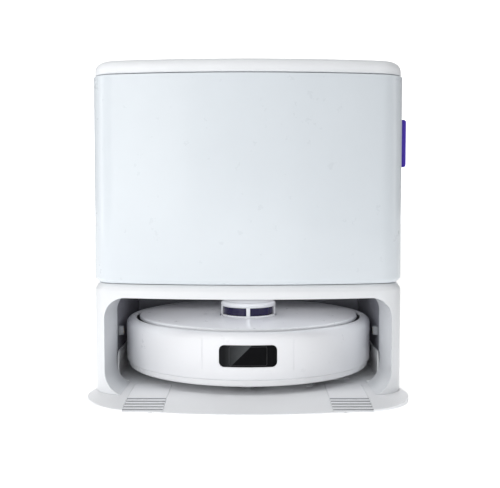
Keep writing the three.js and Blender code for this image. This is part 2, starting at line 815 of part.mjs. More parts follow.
function robotRearShell() {
  return sideWall().intersect(box([-200, 200], [BUMPER.endY + 4.2, 200], [0, 120]));
}

function robotDeck() {
  const { radius, bottomZ, topZ } = DECK;
  const disc = turned(
    [[0, bottomZ], [radius, bottomZ], [radius, topZ - 2], [radius - 2, topZ], [0, topZ]],
    ROBOT_SIDES,
  );
  return cut(disc, cylinder("z", [0, TOWER.y, topZ], TOWER.radius + 1.6, 30, 32));
}

// ---- the laser turret, about the robot's centre ------------------------------------------

const TOWER_SIDES = 28;

// The turret's sill, four posts and cap.
function lidarTower() {
  const { radius, floorZ, sillZ, capZ, topZ } = TOWER;
  const sill = turned(
    [[7, floorZ], [radius, floorZ], [radius, sillZ], [36, sillZ], [36, floorZ + 3], [7, floorZ + 3]],
    TOWER_SIDES,
  );
  const cap = turned(
    [[0, capZ], [radius - 1.5, capZ], [radius, capZ + 2], [radius, topZ - 3], [radius - 4, topZ], [0, topZ]],
    TOWER_SIDES,
  );
  const wall = turned([[36, sillZ - 1], [38.4, sillZ - 1], [38.4, capZ + 1], [36, capZ + 1]], TOWER_SIDES);
  const posts = [0, 90].map((turn) => {
    const bar = box([-2.6, 2.6], [-45, 45], [sillZ - 1, capZ + 1]);
    return wall.intersect(spun(bar, "z", turn));
  });
  return shifted(union(sill, cap, ...posts), 0, TOWER.y, 0);
}

function lidarWindow() {
  const ring = turned([[33.6, 93.4], [35.6, 93.4], [35.6, 103.6], [33.6, 103.6]], TOWER_SIDES);
  return shifted(ring, 0, TOWER.y, 0);
}

// The spinning laser head: a drum on a stub shaft, cut flat where it looks out.
function lidarRotor() {
  const section = [[0, 82], [5.5, 82], [5.5, 87], [31, 87], [31, 101], [29, 102.5], [0, 102.5]];
  const drum = turned(section, TOWER_SIDES);
  return shifted(cut(drum, box([-40, 40], [-40, -25], [90, 110])), 0, TOWER.y, 0);
}

// ---- the robot's works -------------------------------------------------------------------

function driveWheel(side) {
  const { x, radius, width, z } = WHEEL;
  const half = width / 2;
  const tyre = turned(
    [
      [0, -half - 8],
      [6, -half - 8],
      [6, -half],
      [radius - 1.5, -half],
      [radius, -half + 1.5],
      [radius, half - 1.5],
      [radius - 1.5, half],
      [24, half],
      [22, half - 2],
      [0, half - 2],
    ],
    28,
  );
  return mirrored(shifted(spun(tyre, "y", 90), x, 0, z), side);
}

function casterFork() {
  const legs = [[-12, -9], [9, 12]].map((x) => box(x, [-7, 7], [16, 42]));
  const fork = union(
    cylinder("z", [0, 0, 42.5], 17, 3),
    cylinder("z", [0, 0, 48], 4, 10),
    ...legs,
    cylinder("x", [0, 0, CASTER.z], 1.8, 23, 12),
  );
  return shifted(fork, 0, CASTER.y, 0);
}

function casterWheel() {
  const wheel = turned(
    [[2.2, -8], [12.5, -8], [CASTER.radius, -4.5], [CASTER.radius, 4.5], [12.5, 8], [2.2, 8]],
    32,
  );
  return shifted(spun(wheel, "y", 90), 0, CASTER.y, CASTER.z);
}

// A cleaning roller: a core with six soft blades, and a shaft end each side.
function mainBrush() {
  const { y, z, radius, halfLength } = ROLLER;
  const core = cylinder("x", [0, 0, 0], 13, 2 * halfLength);
  const blades = [0, 60, 120].map((turn) =>
    spun(box([-halfLength, halfLength], [-radius, radius], [-1.5, 1.5]), "x", turn),
  );
  const shaft = cylinder("x", [0, 0, 0], 3, 2 * halfLength + 6, 12);
  return shifted(union(core, ...blades, shaft), 0, y, z);
}

// A hub under the chassis with three bristle arms and a shaft up through the plate.
function sideBrush() {
  const arms = [0, 120, 240].map((turn) => {
    const arm = polygon([[0, -3], [SIDE_BRUSH.reach, -5], [SIDE_BRUSH.reach, 3], [0, 3]]);
    return spun(alongZ(arm, [12.5, 14.5]), "z", turn + SIDE_BRUSH.restTurn);
  });
  const hub = turned([[0, 12], [10, 12], [12, 14], [12, 18.3], [3.2, 18.3], [3.2, 26], [0, 26]], 24);
  return shifted(union(hub, ...arms), SIDE_BRUSH.x, SIDE_BRUSH.y, 0);
}

function mopPlate(side) {
  const { x, y, plateR, plateZ, topZ } = MOP;
  const plate = turned([[0, plateZ], [plateR, plateZ], [plateR, topZ], [5, topZ], [5, 30], [0, 30]], 24);
  return shifted(plate, side * x, y, 0);
}

function mopPad(side) {
  const { x, y, padR, padZ, plateZ } = MOP;
  const top = plateZ - GAP;
  const pad = turned([[0, padZ], [padR - 2, padZ], [padR, padZ + 1.8], [padR - 1, top], [0, top]], 32);
  return shifted(pad, side * x, y, 0);
}

// The robot's dust box, with its mouth towards the roller.
function dustBin() {
  const shell = box([-75, 75], [-6, 34], [22.2, 80]);
  const inner = box([-73, 73], [-4, 32], [24.2, 78]);
  return cut(shell, inner, box([-60, 60], [-10, 0], [30, 52]));
}

function robotBattery() {
  return alongZ(roundedRect([-62, 62], [96, 146], 5), [34, 66]);
}

// ---- materials ---------------------------------------------------------------------------

function material(color, roughness, metalness = 0) {
  return new THREE.MeshStandardMaterial({ color, roughness, metalness });
}

const MATERIALS = {
  doorGloss: material("#eef3f8", 0.16),
  whiteShell: material("#f1f4f7", 0.35),
  robotWhite: material("#f4f5f9", 0.3),
  trayWhite: material("#e9ecf0", 0.45),
  padGrey: material("#dfe2ec", 0.6),
  linerGrey: material("#c9cdd4", 0.5),
  innerGrey: material("#aeb4bd", 0.55),
  darkPlastic: material("#2b2e33", 0.5),
  blackGloss: material("#08090b", 0.06),
  lensViolet: material("#2a1f5c", 0.12),
  tabViolet: material("#5037c8", 0.5),
  tankSmoke: material("#b9c8d6", 0.15),
  detergent: material("#7fa9d8", 0.3),
  rubber: material("#26282b", 0.8),
  steel: material("#b7babd", 0.3, 0.9),
  mopCloth: material("#6e7590", 0.95),
  bagPaper: material("#eceae4", 0.9),
};

// ---- assembly ----------------------------------------------------------------------------

function addPiece(group, name, finish, body) {
  const mesh = new THREE.Mesh(geometryOf(body), MATERIALS[finish]);
  mesh.name = name;
  group.add(mesh);
}

function trayGroup() {
  const group = new THREE.Group();
  addPiece(group, "base_tray", "trayWhite", baseTray());
  addPiece(group, "rubber_foot_front", "rubber", rubberFoot(FOOT_Y[0]));
  addPiece(group, "rubber_foot_rear", "rubber", rubberFoot(FOOT_Y[1]));
  addPiece(group, "washing_tray", "innerGrey", washingTray());
  for (const [side, word] of [[-1, "left"], [1, "right"]]) {
    addPiece(group, `track_pad_${word}`, "padGrey", trackPad(side));
    addPiece(group, `guide_${word}`, "whiteShell", guideCheek(side));
  }
  return group;
}

function housingGroup() {
  const group = new THREE.Group();
  addPiece(group, "lower_housing", "whiteShell", lowerHousing());
  addPiece(group, "cavity_liner", "linerGrey", cavityLiner());
  addPiece(group, "rear_cover", "whiteShell", rearCover());
  addPiece(group, "power_inlet", "darkPlastic", powerInlet());
  addPiece(group, "tank_deck", "innerGrey", tankDeck());
  addPiece(group, "upper_housing", "whiteShell", upperHousing());
  addPiece(group, "tank_partition", "innerGrey", tankPartition());
  addPiece(group, "tank_shelf", "innerGrey", tankShelf());
  addPiece(group, "contact_left", "linerGrey", chargingContact(-1));
  addPiece(group, "contact_right", "linerGrey", chargingContact(1));
  return group;
}

function contentsGroup() {
  const group = new THREE.Group();
  addPiece(group, "clean_tank", "tankSmoke", tank(-1));
  addPiece(group, "clean_tank_cap", "whiteShell", tankCap(-1));
  addPiece(group, "dirty_tank", "tankSmoke", tank(1));
  addPiece(group, "dirty_tank_cap", "darkPlastic", tankCap(1));
  addPiece(group, "dirty_tank_float", "whiteShell", tankFloat());
  addPiece(group, "dust_bag", "bagPaper", dustBag());
  addPiece(group, "dust_bag_collar", "darkPlastic", dustBagCollar());
  addPiece(group, "suction_duct", "darkPlastic", suctionDuct());
  addPiece(group, "detergent_cartridge", "detergent", detergentCartridge());
  addPiece(group, "cartridge_cap", "tabViolet", cartridgeCap());
  addPiece(group, "station_fan", "darkPlastic", stationFan());
  addPiece(group, "water_pump", "darkPlastic", waterPump());
  return group;
}

function coversGroup() {
  const group = new THREE.Group();
  addPiece(group, "front_door", "doorGloss", frontDoor());
  addPiece(group, "pull_tab", "tabViolet", pullTab());
  addPiece(group, "door_pin_lower", "steel", doorPin(DOOR_LUGS[0]));
  addPiece(group, "door_pin_upper", "steel", doorPin(DOOR_LUGS[1]));
  addPiece(group, "top_lid", "whiteShell", topLid());
  addPiece(group, "lid_pin_left", "steel", lidPin(-1));
  addPiece(group, "lid_pin_right", "steel", lidPin(1));
  return group;
}

function robotGroup() {
  const group = new THREE.Group();
  group.position.y = ROBOT_Y;
  addPiece(group, "robot_chassis", "trayWhite", robotChassis());
  addPiece(group, "robot_frame", "darkPlastic", robotFrame());
  addPiece(group, "robot_rear_shell", "robotWhite", robotRearShell());
  addPiece(group, "bumper", "robotWhite", bumper());
  addPiece(group, "sensor_window", "blackGloss", sensorWindow());
  addPiece(group, "robot_deck", "robotWhite", robotDeck());
  addPiece(group, "lidar_tower", "robotWhite", lidarTower());
  addPiece(group, "lidar_window", "lensViolet", lidarWindow());
  addPiece(group, "lidar_rotor", "blackGloss", lidarRotor());
  addPiece(group, "dust_bin", "darkPlastic", dustBin());
  addPiece(group, "robot_battery", "darkPlastic", robotBattery());
  addPiece(group, "caster_fork", "darkPlastic", casterFork());
  addPiece(group, "caster_wheel", "rubber", casterWheel());
  addPiece(group, "main_brush", "rubber", mainBrush());
  addPiece(group, "side_brush", "darkPlastic", sideBrush());
  for (const [side, word] of [[-1, "left"], [1, "right"]]) {
    addPiece(group, `wheel_${word}`, "rubber", driveWheel(side));
    addPiece(group, `mop_plate_${word}`, "darkPlastic", mopPlate(side));
    addPiece(group, `mop_pad_${word}`, "mopCloth", mopPad(side));
  }
  return group;
}

const station = new THREE.Group();
station.add(trayGroup(), housingGroup(), contentsGroup(), coversGroup(), robotGroup());

export default station;
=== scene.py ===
import json
import math
import random

import bmesh
import bpy
from mathutils import Matrix, Vector


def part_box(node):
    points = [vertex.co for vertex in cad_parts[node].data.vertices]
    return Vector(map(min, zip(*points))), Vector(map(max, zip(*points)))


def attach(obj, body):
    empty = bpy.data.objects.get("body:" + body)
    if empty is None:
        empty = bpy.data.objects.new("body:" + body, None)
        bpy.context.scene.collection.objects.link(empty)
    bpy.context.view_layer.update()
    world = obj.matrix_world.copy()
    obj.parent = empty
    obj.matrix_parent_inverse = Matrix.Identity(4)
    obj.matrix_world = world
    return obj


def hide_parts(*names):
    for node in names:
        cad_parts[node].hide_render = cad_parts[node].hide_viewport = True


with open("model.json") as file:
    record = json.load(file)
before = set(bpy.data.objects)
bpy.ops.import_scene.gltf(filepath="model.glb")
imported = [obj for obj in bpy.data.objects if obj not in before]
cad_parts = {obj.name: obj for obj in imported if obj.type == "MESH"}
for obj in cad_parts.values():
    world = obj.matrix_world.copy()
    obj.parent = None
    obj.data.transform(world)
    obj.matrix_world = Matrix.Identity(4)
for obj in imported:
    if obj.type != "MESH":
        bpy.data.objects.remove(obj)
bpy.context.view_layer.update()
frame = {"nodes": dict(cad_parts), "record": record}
MM = 0.001
rng = random.Random(7)

# ---- places and sizes, in millimetres, from the frame --------------------------------------


def span(node):
    """A node's lowest and highest corner, in millimetres."""
    low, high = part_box(node)
    return [v / MM for v in low], [v / MM for v in high]


DOOR_LOW, DOOR_HIGH = span("front_door")
HOUSING_LOW, HOUSING_HIGH = span("lower_housing")
UPPER_LOW = span("upper_housing")[0]
LID_LOW, LID_HIGH = span("top_lid")
TRAY_LOW, TRAY_HIGH = span("base_tray")
BUMPER_LOW, BUMPER_HIGH = span("bumper")
DECK_LOW, DECK_HIGH = span("robot_deck")
TOWER_LOW, TOWER_HIGH = span("lidar_tower")

ROBOT_R = BUMPER_HIGH[0]
ROBOT_Y = BUMPER_LOW[1] + ROBOT_R
TOWER_Y = (TOWER_LOW[1] + TOWER_HIGH[1]) / 2
TOWER_R = TOWER_HIGH[0]
TRACK_Z = TRAY_HIGH[2]
GROOVE_Z = HOUSING_HIGH[2]
RIM_Z = LID_LOW[2] - 0.7

# Plan outlines: a bowed front that runs into round corners.
BODY = {
    "half": HOUSING_HIGH[0],
    "front": HOUSING_LOW[1],
    "rear": HOUSING_HIGH[1],
    "bow": 750,
    "corner": 40,
    "back": 30,
}
FLARE = {
    "half": TRAY_HIGH[0],
    "front": TRAY_LOW[1],
    "rear": TRAY_HIGH[1],
    "bow": 700,
    "corner": 70,
    "back": 30,
}
ARCH = {"half": 183, "low": 7.2, "top": 132, "top_r": 28, "low_r": 30}
REVEAL_FRONT = -150
REVEAL_REAR = -60
REVEAL_TAPER = 3.2
RAMP_TOP = -165
RAMP_EDGE_Z = 2.8
REAR_Y = HOUSING_HIGH[1]

# Axes that several pieces share.
LID_AXIS_Y = (span("lid_pin_left")[0][1] + span("lid_pin_left")[1][1]) / 2
LID_AXIS_Z = 421
LID_HINGE_X = 123
DOOR_AXIS = (-195.4, -115)
DOOR_LUG_Z = (192.5, 372.5)
DUCT_AT = (-95, -90)
NECK_AT = (114, -84)
CENTRE = (0, ROBOT_Y)
TOWER_AT = (0, TOWER_Y)
WHEEL = {"x": 125, "z": 43.5}
CASTER_AT = (0, ROBOT_Y - 130)
SIDE_BRUSH_AT = (92, ROBOT_Y - 100)
MOP_X = 66
MOP_Y = ROBOT_Y + 80
SIDES = ((-1, "left"), (1, "right"))

# ---- curves ---------------------------------------------------------------------------------


def arc(x, y, radius, start, end, steps):
    turns = (start + (end - start) * i / steps for i in range(steps + 1))
    return [(x + radius * math.cos(a), y + radius * math.sin(a)) for a in turns]


def corner_of(plan):
    """Where the bow's centre and the front corner's centre lie, and the angle where they meet."""
    bow_y = plan["front"] + plan["bow"]
    x = plan["half"] - plan["corner"]
    y = bow_y - math.sqrt((plan["bow"] - plan["corner"]) ** 2 - x * x)
    return bow_y, x, y, math.atan2(y - bow_y, x)


def unique(points):
    count = len(points)
    return [p for i, p in enumerate(points) if math.dist(p, points[(i + 1) % count]) > 0.01]


def body_outline(inset=0.0):
    """The station's closed outline in plan, counter-clockwise from the bow's left end."""
    bow_y, x, y, angle = corner_of(BODY)
    front_r = BODY["corner"] - inset
    back_r = BODY["back"] - inset
    back_x = BODY["half"] - BODY["back"]
    back_y = BODY["rear"] - BODY["back"]
    points = arc(0, bow_y, BODY["bow"] - inset, -math.pi - angle, angle, 48)
    points += arc(x, y, front_r, angle, 0, 16)
    points += arc(back_x, back_y, back_r, 0, math.pi / 2, 12)
    points += arc(-back_x, back_y, back_r, math.pi / 2, math.pi, 12)
    points += arc(-x, y, front_r, math.pi, math.pi - angle, 16)
    return unique(points)


def bow_path(inset, end_y):
    """The open run round the front, from the left side at end_y to the right side at end_y."""
    bow_y, x, y, angle = corner_of(BODY)
    side = BODY["half"] - inset
    radius = BODY["corner"] - inset
    points = [(-side, end_y)]
    points += arc(-x, y, radius, math.pi, math.pi - angle, 18)[1 if end_y <= y else 0 :]
    points += arc(0, bow_y, BODY["bow"] - inset, -math.pi - angle, angle, 56)[1:]
    points += arc(x, y, radius, angle, 0, 18)[1:]
    return points + [(side, end_y)]


def rear_path(inset, end_y):
    """The open run round the back, from the right side at end_y to the left side at end_y."""
    back_x = BODY["half"] - BODY["back"]
    back_y = BODY["rear"] - BODY["back"]
    radius = BODY["back"] - inset
    points = [(BODY["half"] - inset, end_y)]
    points += arc(back_x, back_y, radius, 0, math.pi / 2, 14)
    points += arc(-back_x, back_y, radius, math.pi / 2, math.pi, 14)
    return points + [(inset - BODY["half"], end_y)]


def bezier(a, b, c, steps):
    """A curve from a to c that bends towards b, without its first point."""
    ts = (i / steps for i in range(1, steps + 1))
    weights = [((1 - t) ** 2, 2 * t * (1 - t), t * t) for t in ts]
    return [tuple(u * p + v * q + w * r for p, q, r in zip(a, b, c)) for u, v, w in weights]


def circle(x, y, radius, steps=20):
    turns = [2 * math.pi * i / steps for i in range(steps)]
    return [(x + radius * math.cos(a), y + radius * math.sin(a)) for a in turns]


def bar(bore, radius, low, high, edge=0.3, rise=0.3):
    """The section of a round bar, or of a tube, whose end edges are cut back."""
    lower = [(bore, low), (radius - edge, low), (radius, low + rise)]
    return lower + [(radius, high - rise), (radius - edge, high), (bore, high)]


def tray_outline():
    bow_y, x, y, angle = corner_of(FLARE)
    neck_y = corner_of(BODY)[2]
    half, wide = BODY["half"], FLARE["half"]
    back_x = half - BODY["back"]
    back_y = FLARE["rear"] - BODY["back"]
    points = arc(0, bow_y, FLARE["bow"], -math.pi - angle, angle, 48)
    points += arc(x, y, FLARE["corner"], angle, 0, 16)
    points += bezier((wide, y), (wide, neck_y - 14), (half, neck_y + 6), 10)
    points += arc(back_x, back_y, BODY["back"], 0, math.pi / 2, 10)
    points += arc(-back_x, back_y, BODY["back"], math.pi / 2, math.pi, 10)
    points += [(-half, neck_y + 6)]
    points += bezier((-half, neck_y + 6), (-wide, neck_y - 14), (-wide, y), 10)
    points += arc(-x, y, FLARE["corner"], math.pi, math.pi - angle, 16)
    return unique(points)


def rounded_box(x, y, low_r, high_r=None, steps=8):
    """A rounded rectangle, with one radius for its low corners and one for its high ones."""
    high_r = low_r if high_r is None else high_r
    quarter = math.pi / 2
    points = arc(x[1] - low_r, y[0] + low_r, low_r, -quarter, 0, steps)
    points += arc(x[1] - high_r, y[1] - high_r, high_r, 0, quarter, steps)
    points += arc(x[0] + high_r, y[1] - high_r, high_r, quarter, 2 * quarter, steps)
    points += arc(x[0] + low_r, y[0] + low_r, low_r, 2 * quarter, 3 * quarter, steps)
    return unique(points)


# ---- meshes ---------------------------------------------------------------------------------


def make_object(name, build):
    """A smooth-shaded mesh object whose bmesh is filled by build, in millimetres."""
    bm = bmesh.new()
    build(bm)
    bmesh.ops.scale(bm, vec=(MM, MM, MM), verts=bm.verts)
    bmesh.ops.recalc_face_normals(bm, faces=bm.faces)
    mesh = bpy.data.meshes.new(name)
    bm.to_mesh(mesh)
    bm.free()
    mesh.shade_smooth()
    obj = bpy.data.objects.new(name, mesh)
    bpy.context.scene.collection.objects.link(obj)
    return obj


def skin(bm, rings, loop=True, wrap=False, caps=True):
    """Faces between rings of points. loop closes each ring, wrap joins the last ring to the first."""
    grid = [[bm.verts.new(p) for p in ring] for ring in rings]
    count = len(grid[0])
    for k in range(len(grid) - (0 if wrap else 1)):
        low, high = grid[k], grid[(k + 1) % len(grid)]
        for i in range(count - (0 if loop else 1)):
            j = (i + 1) % count
            bm.faces.new((low[i], low[j], high[j], high[i]))
    if caps and loop and not wrap:
        bm.faces.new(grid[0])
        bm.faces.new(grid[-1])
    if caps and wrap and not loop:
        bm.faces.new([row[0] for row in grid])
        bm.faces.new([row[-1] for row in grid])


def loft(name, rings, **options):
    return make_object(name, lambda bm: skin(bm, rings, **options))


def at_z(points, z):
    return [(x, y, z) for x, y in points]


def body_loft(name, levels):
    """A closed form over body outlines, from [inset, z] levels."""
    return loft(name, [at_z(body_outline(inset), z) for inset, z in levels])


def body_sweep(name, profile, path=body_outline, **options):
    """A wall whose closed [inset, z] profile runs round the body."""
    closed = path is body_outline
    rings = [at_z(path(inset, **options), z) for inset, z in profile]
    return loft(name, rings, loop=closed, wrap=True)


PLACE = {
    "z": lambda a, b, c: (a, b, c),
    "y": lambda a, b, c: (a, c, b),
    "x": lambda a, b, c: (c, a, b),
}


def lathe(name, profile, centre=(0, 0), steps=96, start=0.0, turn=2 * math.pi, closed=False, axis="z"):
    """A [radius, height] profile turned about an axis. A partial turn is capped at both ends."""
    whole = turn > 6.28
    place = PLACE[axis]
    angles = [start + turn * i / steps for i in range(steps if whole else steps + 1)]

    def build(bm):
        rings = []
        for radius, z in profile:
            r = max(radius, 0.001)
            ring = [(centre[0] + r * math.cos(a), centre[1] + r * math.sin(a)) for a in angles]
            rings.append([place(u, v, z) for u, v in ring])
        skin(bm, rings, loop=whole, wrap=closed or not whole, caps=True)
        bmesh.ops.remove_doubles(bm, verts=bm.verts, dist=0.003)

    return make_object(name, build)


def prism(name, outline, low, high, axis="z"):
    """A closed outline run between two levels along z, or along y from XZ, or along x from YZ."""
    place = PLACE[axis]
    return loft(name, [[place(a, b, c) for a, b in outline] for c in (low, high)])


def block(name, x, y, z):
    return prism(name, [(x[0], y[0]), (x[1], y[0]), (x[1], y[1]), (x[0], y[1])], *z)


def cuboid(name, low, high):
    return block(name, *zip(low, high))


def mirror_copy(obj, name):
    """The object's mirror image across the middle plane, as a new object."""
    mesh = obj.data.copy()
    mesh.transform(Matrix.Scale(-1, 4, (1, 0, 0)))
    mesh.flip_normals()
    copy = bpy.data.objects.new(name, mesh)
    bpy.context.scene.collection.objects.link(copy)
    for modifier in obj.modifiers:
        other = copy.modifiers.new(modifier.name, modifier.type)
        for key in ("width", "segments", "limit_method", "angle_limit", "harden_normals"):
            if hasattr(modifier, key):
                setattr(other, key, getattr(modifier, key))
    return copy


def joined(name, *objects):
    """One object that holds the meshes of several."""
    bm = bmesh.new()
    for obj in objects:
        bm.from_mesh(obj.data)
        bpy.data.objects.remove(obj)
    mesh = bpy.data.meshes.new(name)
    bm.to_mesh(mesh)
    bm.free()
    mesh.shade_smooth()
    result = bpy.data.objects.new(name, mesh)
    bpy.context.scene.collection.objects.link(result)
    return result


def settle(obj):
    """Turns the object's modifiers into plain mesh."""
    graph = bpy.context.evaluated_depsgraph_get()
    graph.update()
    mesh = bpy.data.meshes.new_from_object(obj.evaluated_get(graph))
    obj.modifiers.clear()
    obj.data = mesh
    return obj


def boolean(obj, tools, operation):
    for tool in tools:
        modifier = obj.modifiers.new(operation, "BOOLEAN")
        modifier.operation = operation
        modifier.solver = "EXACT"
        modifier.object = tool
        settle(obj)
        bpy.data.objects.remove(tool)
    obj.data.shade_smooth()
    return obj


def carve(obj, *tools):
    return boolean(obj, tools, "DIFFERENCE")


def keep_inside(obj, tool):
    return boolean(obj, [tool], "INTERSECT")


def soften(obj, width=0.6, segments=3, angle=32):
    """Rounds the sharp edges."""
    modifier = obj.modifiers.new("edges", "BEVEL")
    modifier.width = width * MM
    modifier.segments = segments
    modifier.limit_method = "ANGLE"
    modifier.angle_limit = math.radians(angle)
    modifier.harden_normals = True
    return obj


# ---- materials ------------------------------------------------------------------------------


class Nodes:
    """A short way to write a material's node tree."""

    def __init__(self, name):
        self.material = bpy.data.materials.new(name)
        self.material.use_nodes = True
        self.tree = self.material.node_tree
        self.shader = self.tree.nodes["Principled BSDF"]
        self.place = self.add("ShaderNodeTexCoord").outputs["Object"]

    def add(self, kind, inputs=None, **settings):
        node = self.tree.nodes.new(kind)
        for key, value in settings.items():
            setattr(node, key, value)
        for key, value in (inputs or {}).items():
            self.feed(node.inputs[key], value)
        return node

    def feed(self, socket, value):
        if isinstance(value, bpy.types.NodeSocket):
            self.tree.links.new(value, socket)
        else:
            socket.default_value = value

    def set(self, **values):
        for key, value in values.items():
            label = key.replace("_", " ").title().replace("Ior", "IOR")
            self.feed(self.shader.inputs[label], value)

    def noise(self, scale, detail=3.0, roughness=0.5, stretch=None):
        place = self.place
        if stretch:
            mapping = self.add("ShaderNodeMapping", {"Vector": place, "Scale": stretch})
            place = mapping.outputs["Vector"]
        inputs = {"Vector": place, "Scale": scale, "Detail": detail, "Roughness": roughness}
        return self.add("ShaderNodeTexNoise", inputs).outputs["Fac"]

    def remap(self, value, low, high, source=(0.3, 0.7)):
        inputs = {"Value": value, "From Min": source[0], "From Max": source[1]}
        inputs.update({"To Min": low, "To Max": high})
        return self.add("ShaderNodeMapRange", inputs).outputs["Result"]

    def math(self, operation, a, b):
        return self.add("ShaderNodeMath", {0: a, 1: b}, operation=operation).outputs[0]

    def wave(self, scale, distortion, direction):
        inputs = {"Vector": self.place, "Scale": scale, "Distortion": distortion}
        return self.add("ShaderNodeTexWave", inputs, bands_direction=direction).outputs["Fac"]

    def mix(self, factor, a, b):
        node = self.add("ShaderNodeMix", data_type="RGBA")
        self.feed(node.inputs[0], factor)
        self.feed(node.inputs[6], a)
        self.feed(node.inputs[7], b)
        return node.outputs[2]

    def bump(self, height, strength, distance, normal=None):
        inputs = {"Height": height, "Strength": strength, "Distance": distance}
        if normal:
            inputs["Normal"] = normal
        return self.add("ShaderNodeBump", inputs).outputs["Normal"]


def shade(color, factor):
    return tuple(min(1.0, c * factor) for c in color[:3]) + (1.0,)


def plastic(name, color, roughness, coat=0.0, grain=0.02, grain_scale=2600.0, blotch=0.02, wave=0.0):
    """Moulded plastic: faint mottle, uneven gloss and fine grain. wave is a gloss shell's slow ripple."""
    n = Nodes(name)
    mottle = n.remap(n.noise(9.0, 4.0, 0.6), 0.0, 1.0)
    n.set(base_color=n.mix(mottle, shade(color, 1.0 - blotch), shade(color, 1.0 + blotch * 0.5)))
    n.set(roughness=n.remap(n.noise(55.0, 5.0, 0.65), roughness * 0.88, roughness * 1.14))
    normal = n.bump(n.noise(grain_scale, 2.0), grain, 0.0002)
    if wave:
        normal = n.bump(n.noise(14.0, 1.0), wave, 0.002, normal)
    n.set(normal=normal, coat_weight=coat, coat_roughness=0.06, ior=1.48)
    return n.material


def rubber(name, color, roughness=0.75):
    n = Nodes(name)
    dust = n.remap(n.noise(70.0, 6.0, 0.7), 0.0, 1.0, (0.52, 0.8))
    n.set(base_color=n.mix(dust, shade(color, 1.0), shade(color, 2.4)), roughness=roughness)
    n.set(normal=n.bump(n.noise(1800.0, 3.0), 0.25, 0.0003), specular_ior_level=0.35)
    return n.material


def brushed_metal(name, color, roughness, stretch=(1.0, 1.0, 60.0)):
    n = Nodes(name)
    lines = n.noise(420.0, 4.0, 0.7, stretch)
    n.set(base_color=n.mix(n.remap(lines, 0.0, 1.0), shade(color, 0.82), shade(color, 1.05)))
    n.set(metallic=1.0, roughness=n.remap(lines, roughness * 0.8, roughness * 1.3))
    n.set(normal=n.bump(lines, 0.08, 0.0002))
    return n.material


def webbing(name, color):
    """Woven tape: warp ribs crossed by weft, with a soft sheen."""
    n = Nodes(name)
    height = n.math("MULTIPLY", n.wave(330.0, 0.4, "Z"), n.wave(520.0, 0.5, "X"))
    # The weave's low parts are painted darker: painted shade between the threads.
    n.set(base_color=n.mix(height, shade(color, 0.72), shade(color, 1.15)), roughness=0.62)
    n.set(normal=n.bump(height, 0.5, 0.0004), sheen_weight=0.25, sheen_roughness=0.4)
    return n.material


def cloth(name, color, scale=900.0, depth=0.6):
    """Looped microfibre."""
    n = Nodes(name)
    loops = n.add("ShaderNodeTexVoronoi", {"Vector": n.place, "Scale": scale}).outputs["Distance"]
    tone = n.remap(loops, 0.0, 1.0, (0.0, 0.6))
    n.set(base_color=n.mix(tone, shade(color, 1.2), shade(color, 0.6)), roughness=0.95)
    n.set(normal=n.bump(loops, depth, 0.0012), sheen_weight=0.4, sheen_roughness=0.5)
    return n.material


def smoked(name, color, roughness, alpha):
    """Translucent moulded plastic, with a trace of haze."""
    n = Nodes(name)
    haze = n.remap(n.noise(24.0, 5.0, 0.6), 0.0, 1.0)
    n.set(base_color=n.mix(haze, shade(color, 0.93), shade(color, 1.05)), alpha=alpha)
    n.set(roughness=n.remap(haze, roughness, roughness * 1.7), ior=1.49)
    n.set(coat_weight=0.3, coat_roughness=0.08, normal=n.bump(n.noise(30.0, 2.0), 0.06, 0.001))
    return n.material


def sensor_glass(name):
    """Black glass over a camera bay, with a painted reflection: a paler band painted into its colour
    across its upper left corner.
    """
    n = Nodes(name)
    place = n.add("ShaderNodeSeparateXYZ", {"Vector": n.place}).outputs
    slope = n.math("SUBTRACT", place["Z"], place["X"])
    # Painted reflection: a paler band above a diagonal, faded along x and broken up by noise, mixed into
    # the glass's base colour.
    reflection_band = n.remap(slope, 0.0, 1.0, (0.0675, 0.0685))
    fade = n.remap(place["X"], 0.1, 1.0, (-0.030, -0.004))
    haze = n.remap(n.noise(60.0), 0.8, 1.0)
    painted_reflection = n.math("MULTIPLY", n.math("MULTIPLY", reflection_band, fade), haze)
    n.set(base_color=n.mix(painted_reflection, (0.005, 0.005, 0.006, 1), (0.085, 0.09, 0.095, 1)), roughness=0.08)
    n.set(specular_ior_level=0.04, normal=n.bump(n.noise(20.0), 0.01, 0.001))
    return n.material


SLOT_OF = {
    "door_gloss": plastic("door_gloss", (0.74, 0.79, 0.835), 0.30, coat=0.25, grain=0.006, wave=0.015),
    "white_shell": plastic("white_shell", (0.85, 0.87, 0.895), 0.34, grain=0.03),
    "robot_white": plastic("robot_white", (0.93, 0.94, 0.97), 0.30, coat=0.15, grain=0.015),
    "tray_white": plastic("tray_white", (0.94, 0.95, 0.97), 0.48, grain=0.10),
    "pad_grey": plastic("pad_grey", (0.96, 0.97, 1.0), 0.62, grain=0.22, grain_scale=1500.0),
    # The liner's dark grey is partly painted shade: the bay's walls and ceiling are coloured darker to
    # stand in for the shadow deep in the bay.
    "liner_grey": plastic("liner_grey", (0.36, 0.365, 0.41), 0.42, grain=0.08),
    "inner_grey": plastic("inner_grey", (0.52, 0.54, 0.57), 0.55, grain=0.12),
    "dark_plastic": plastic("dark_plastic", (0.030, 0.032, 0.036), 0.45, grain=0.15, blotch=0.12),
    "black_gloss": plastic("black_gloss", (0.006, 0.006, 0.008), 0.07, coat=0.6, grain=0.003, blotch=0.1),
    "lens_violet": plastic("lens_violet", (0.012, 0.007, 0.06), 0.12, coat=0.1, grain=0.004, blotch=0.25),
    "tab_violet": plastic("cap_violet", (0.092, 0.042, 0.56), 0.4, grain=0.1),
    "tank_smoke": smoked("tank_smoke", (0.55, 0.64, 0.72), 0.10, 0.55),
    "detergent": smoked("detergent", (0.30, 0.48, 0.74), 0.25, 0.9),
    "rubber": rubber("rubber", (0.018, 0.018, 0.020)),
    "steel": brushed_metal("steel", (0.62, 0.63, 0.64), 0.28),
    "mop_cloth": cloth("mop_cloth", (0.16, 0.18, 0.28)),
    "bag_paper": cloth("bag_paper", (0.72, 0.70, 0.64), 2200.0, 0.25),
}

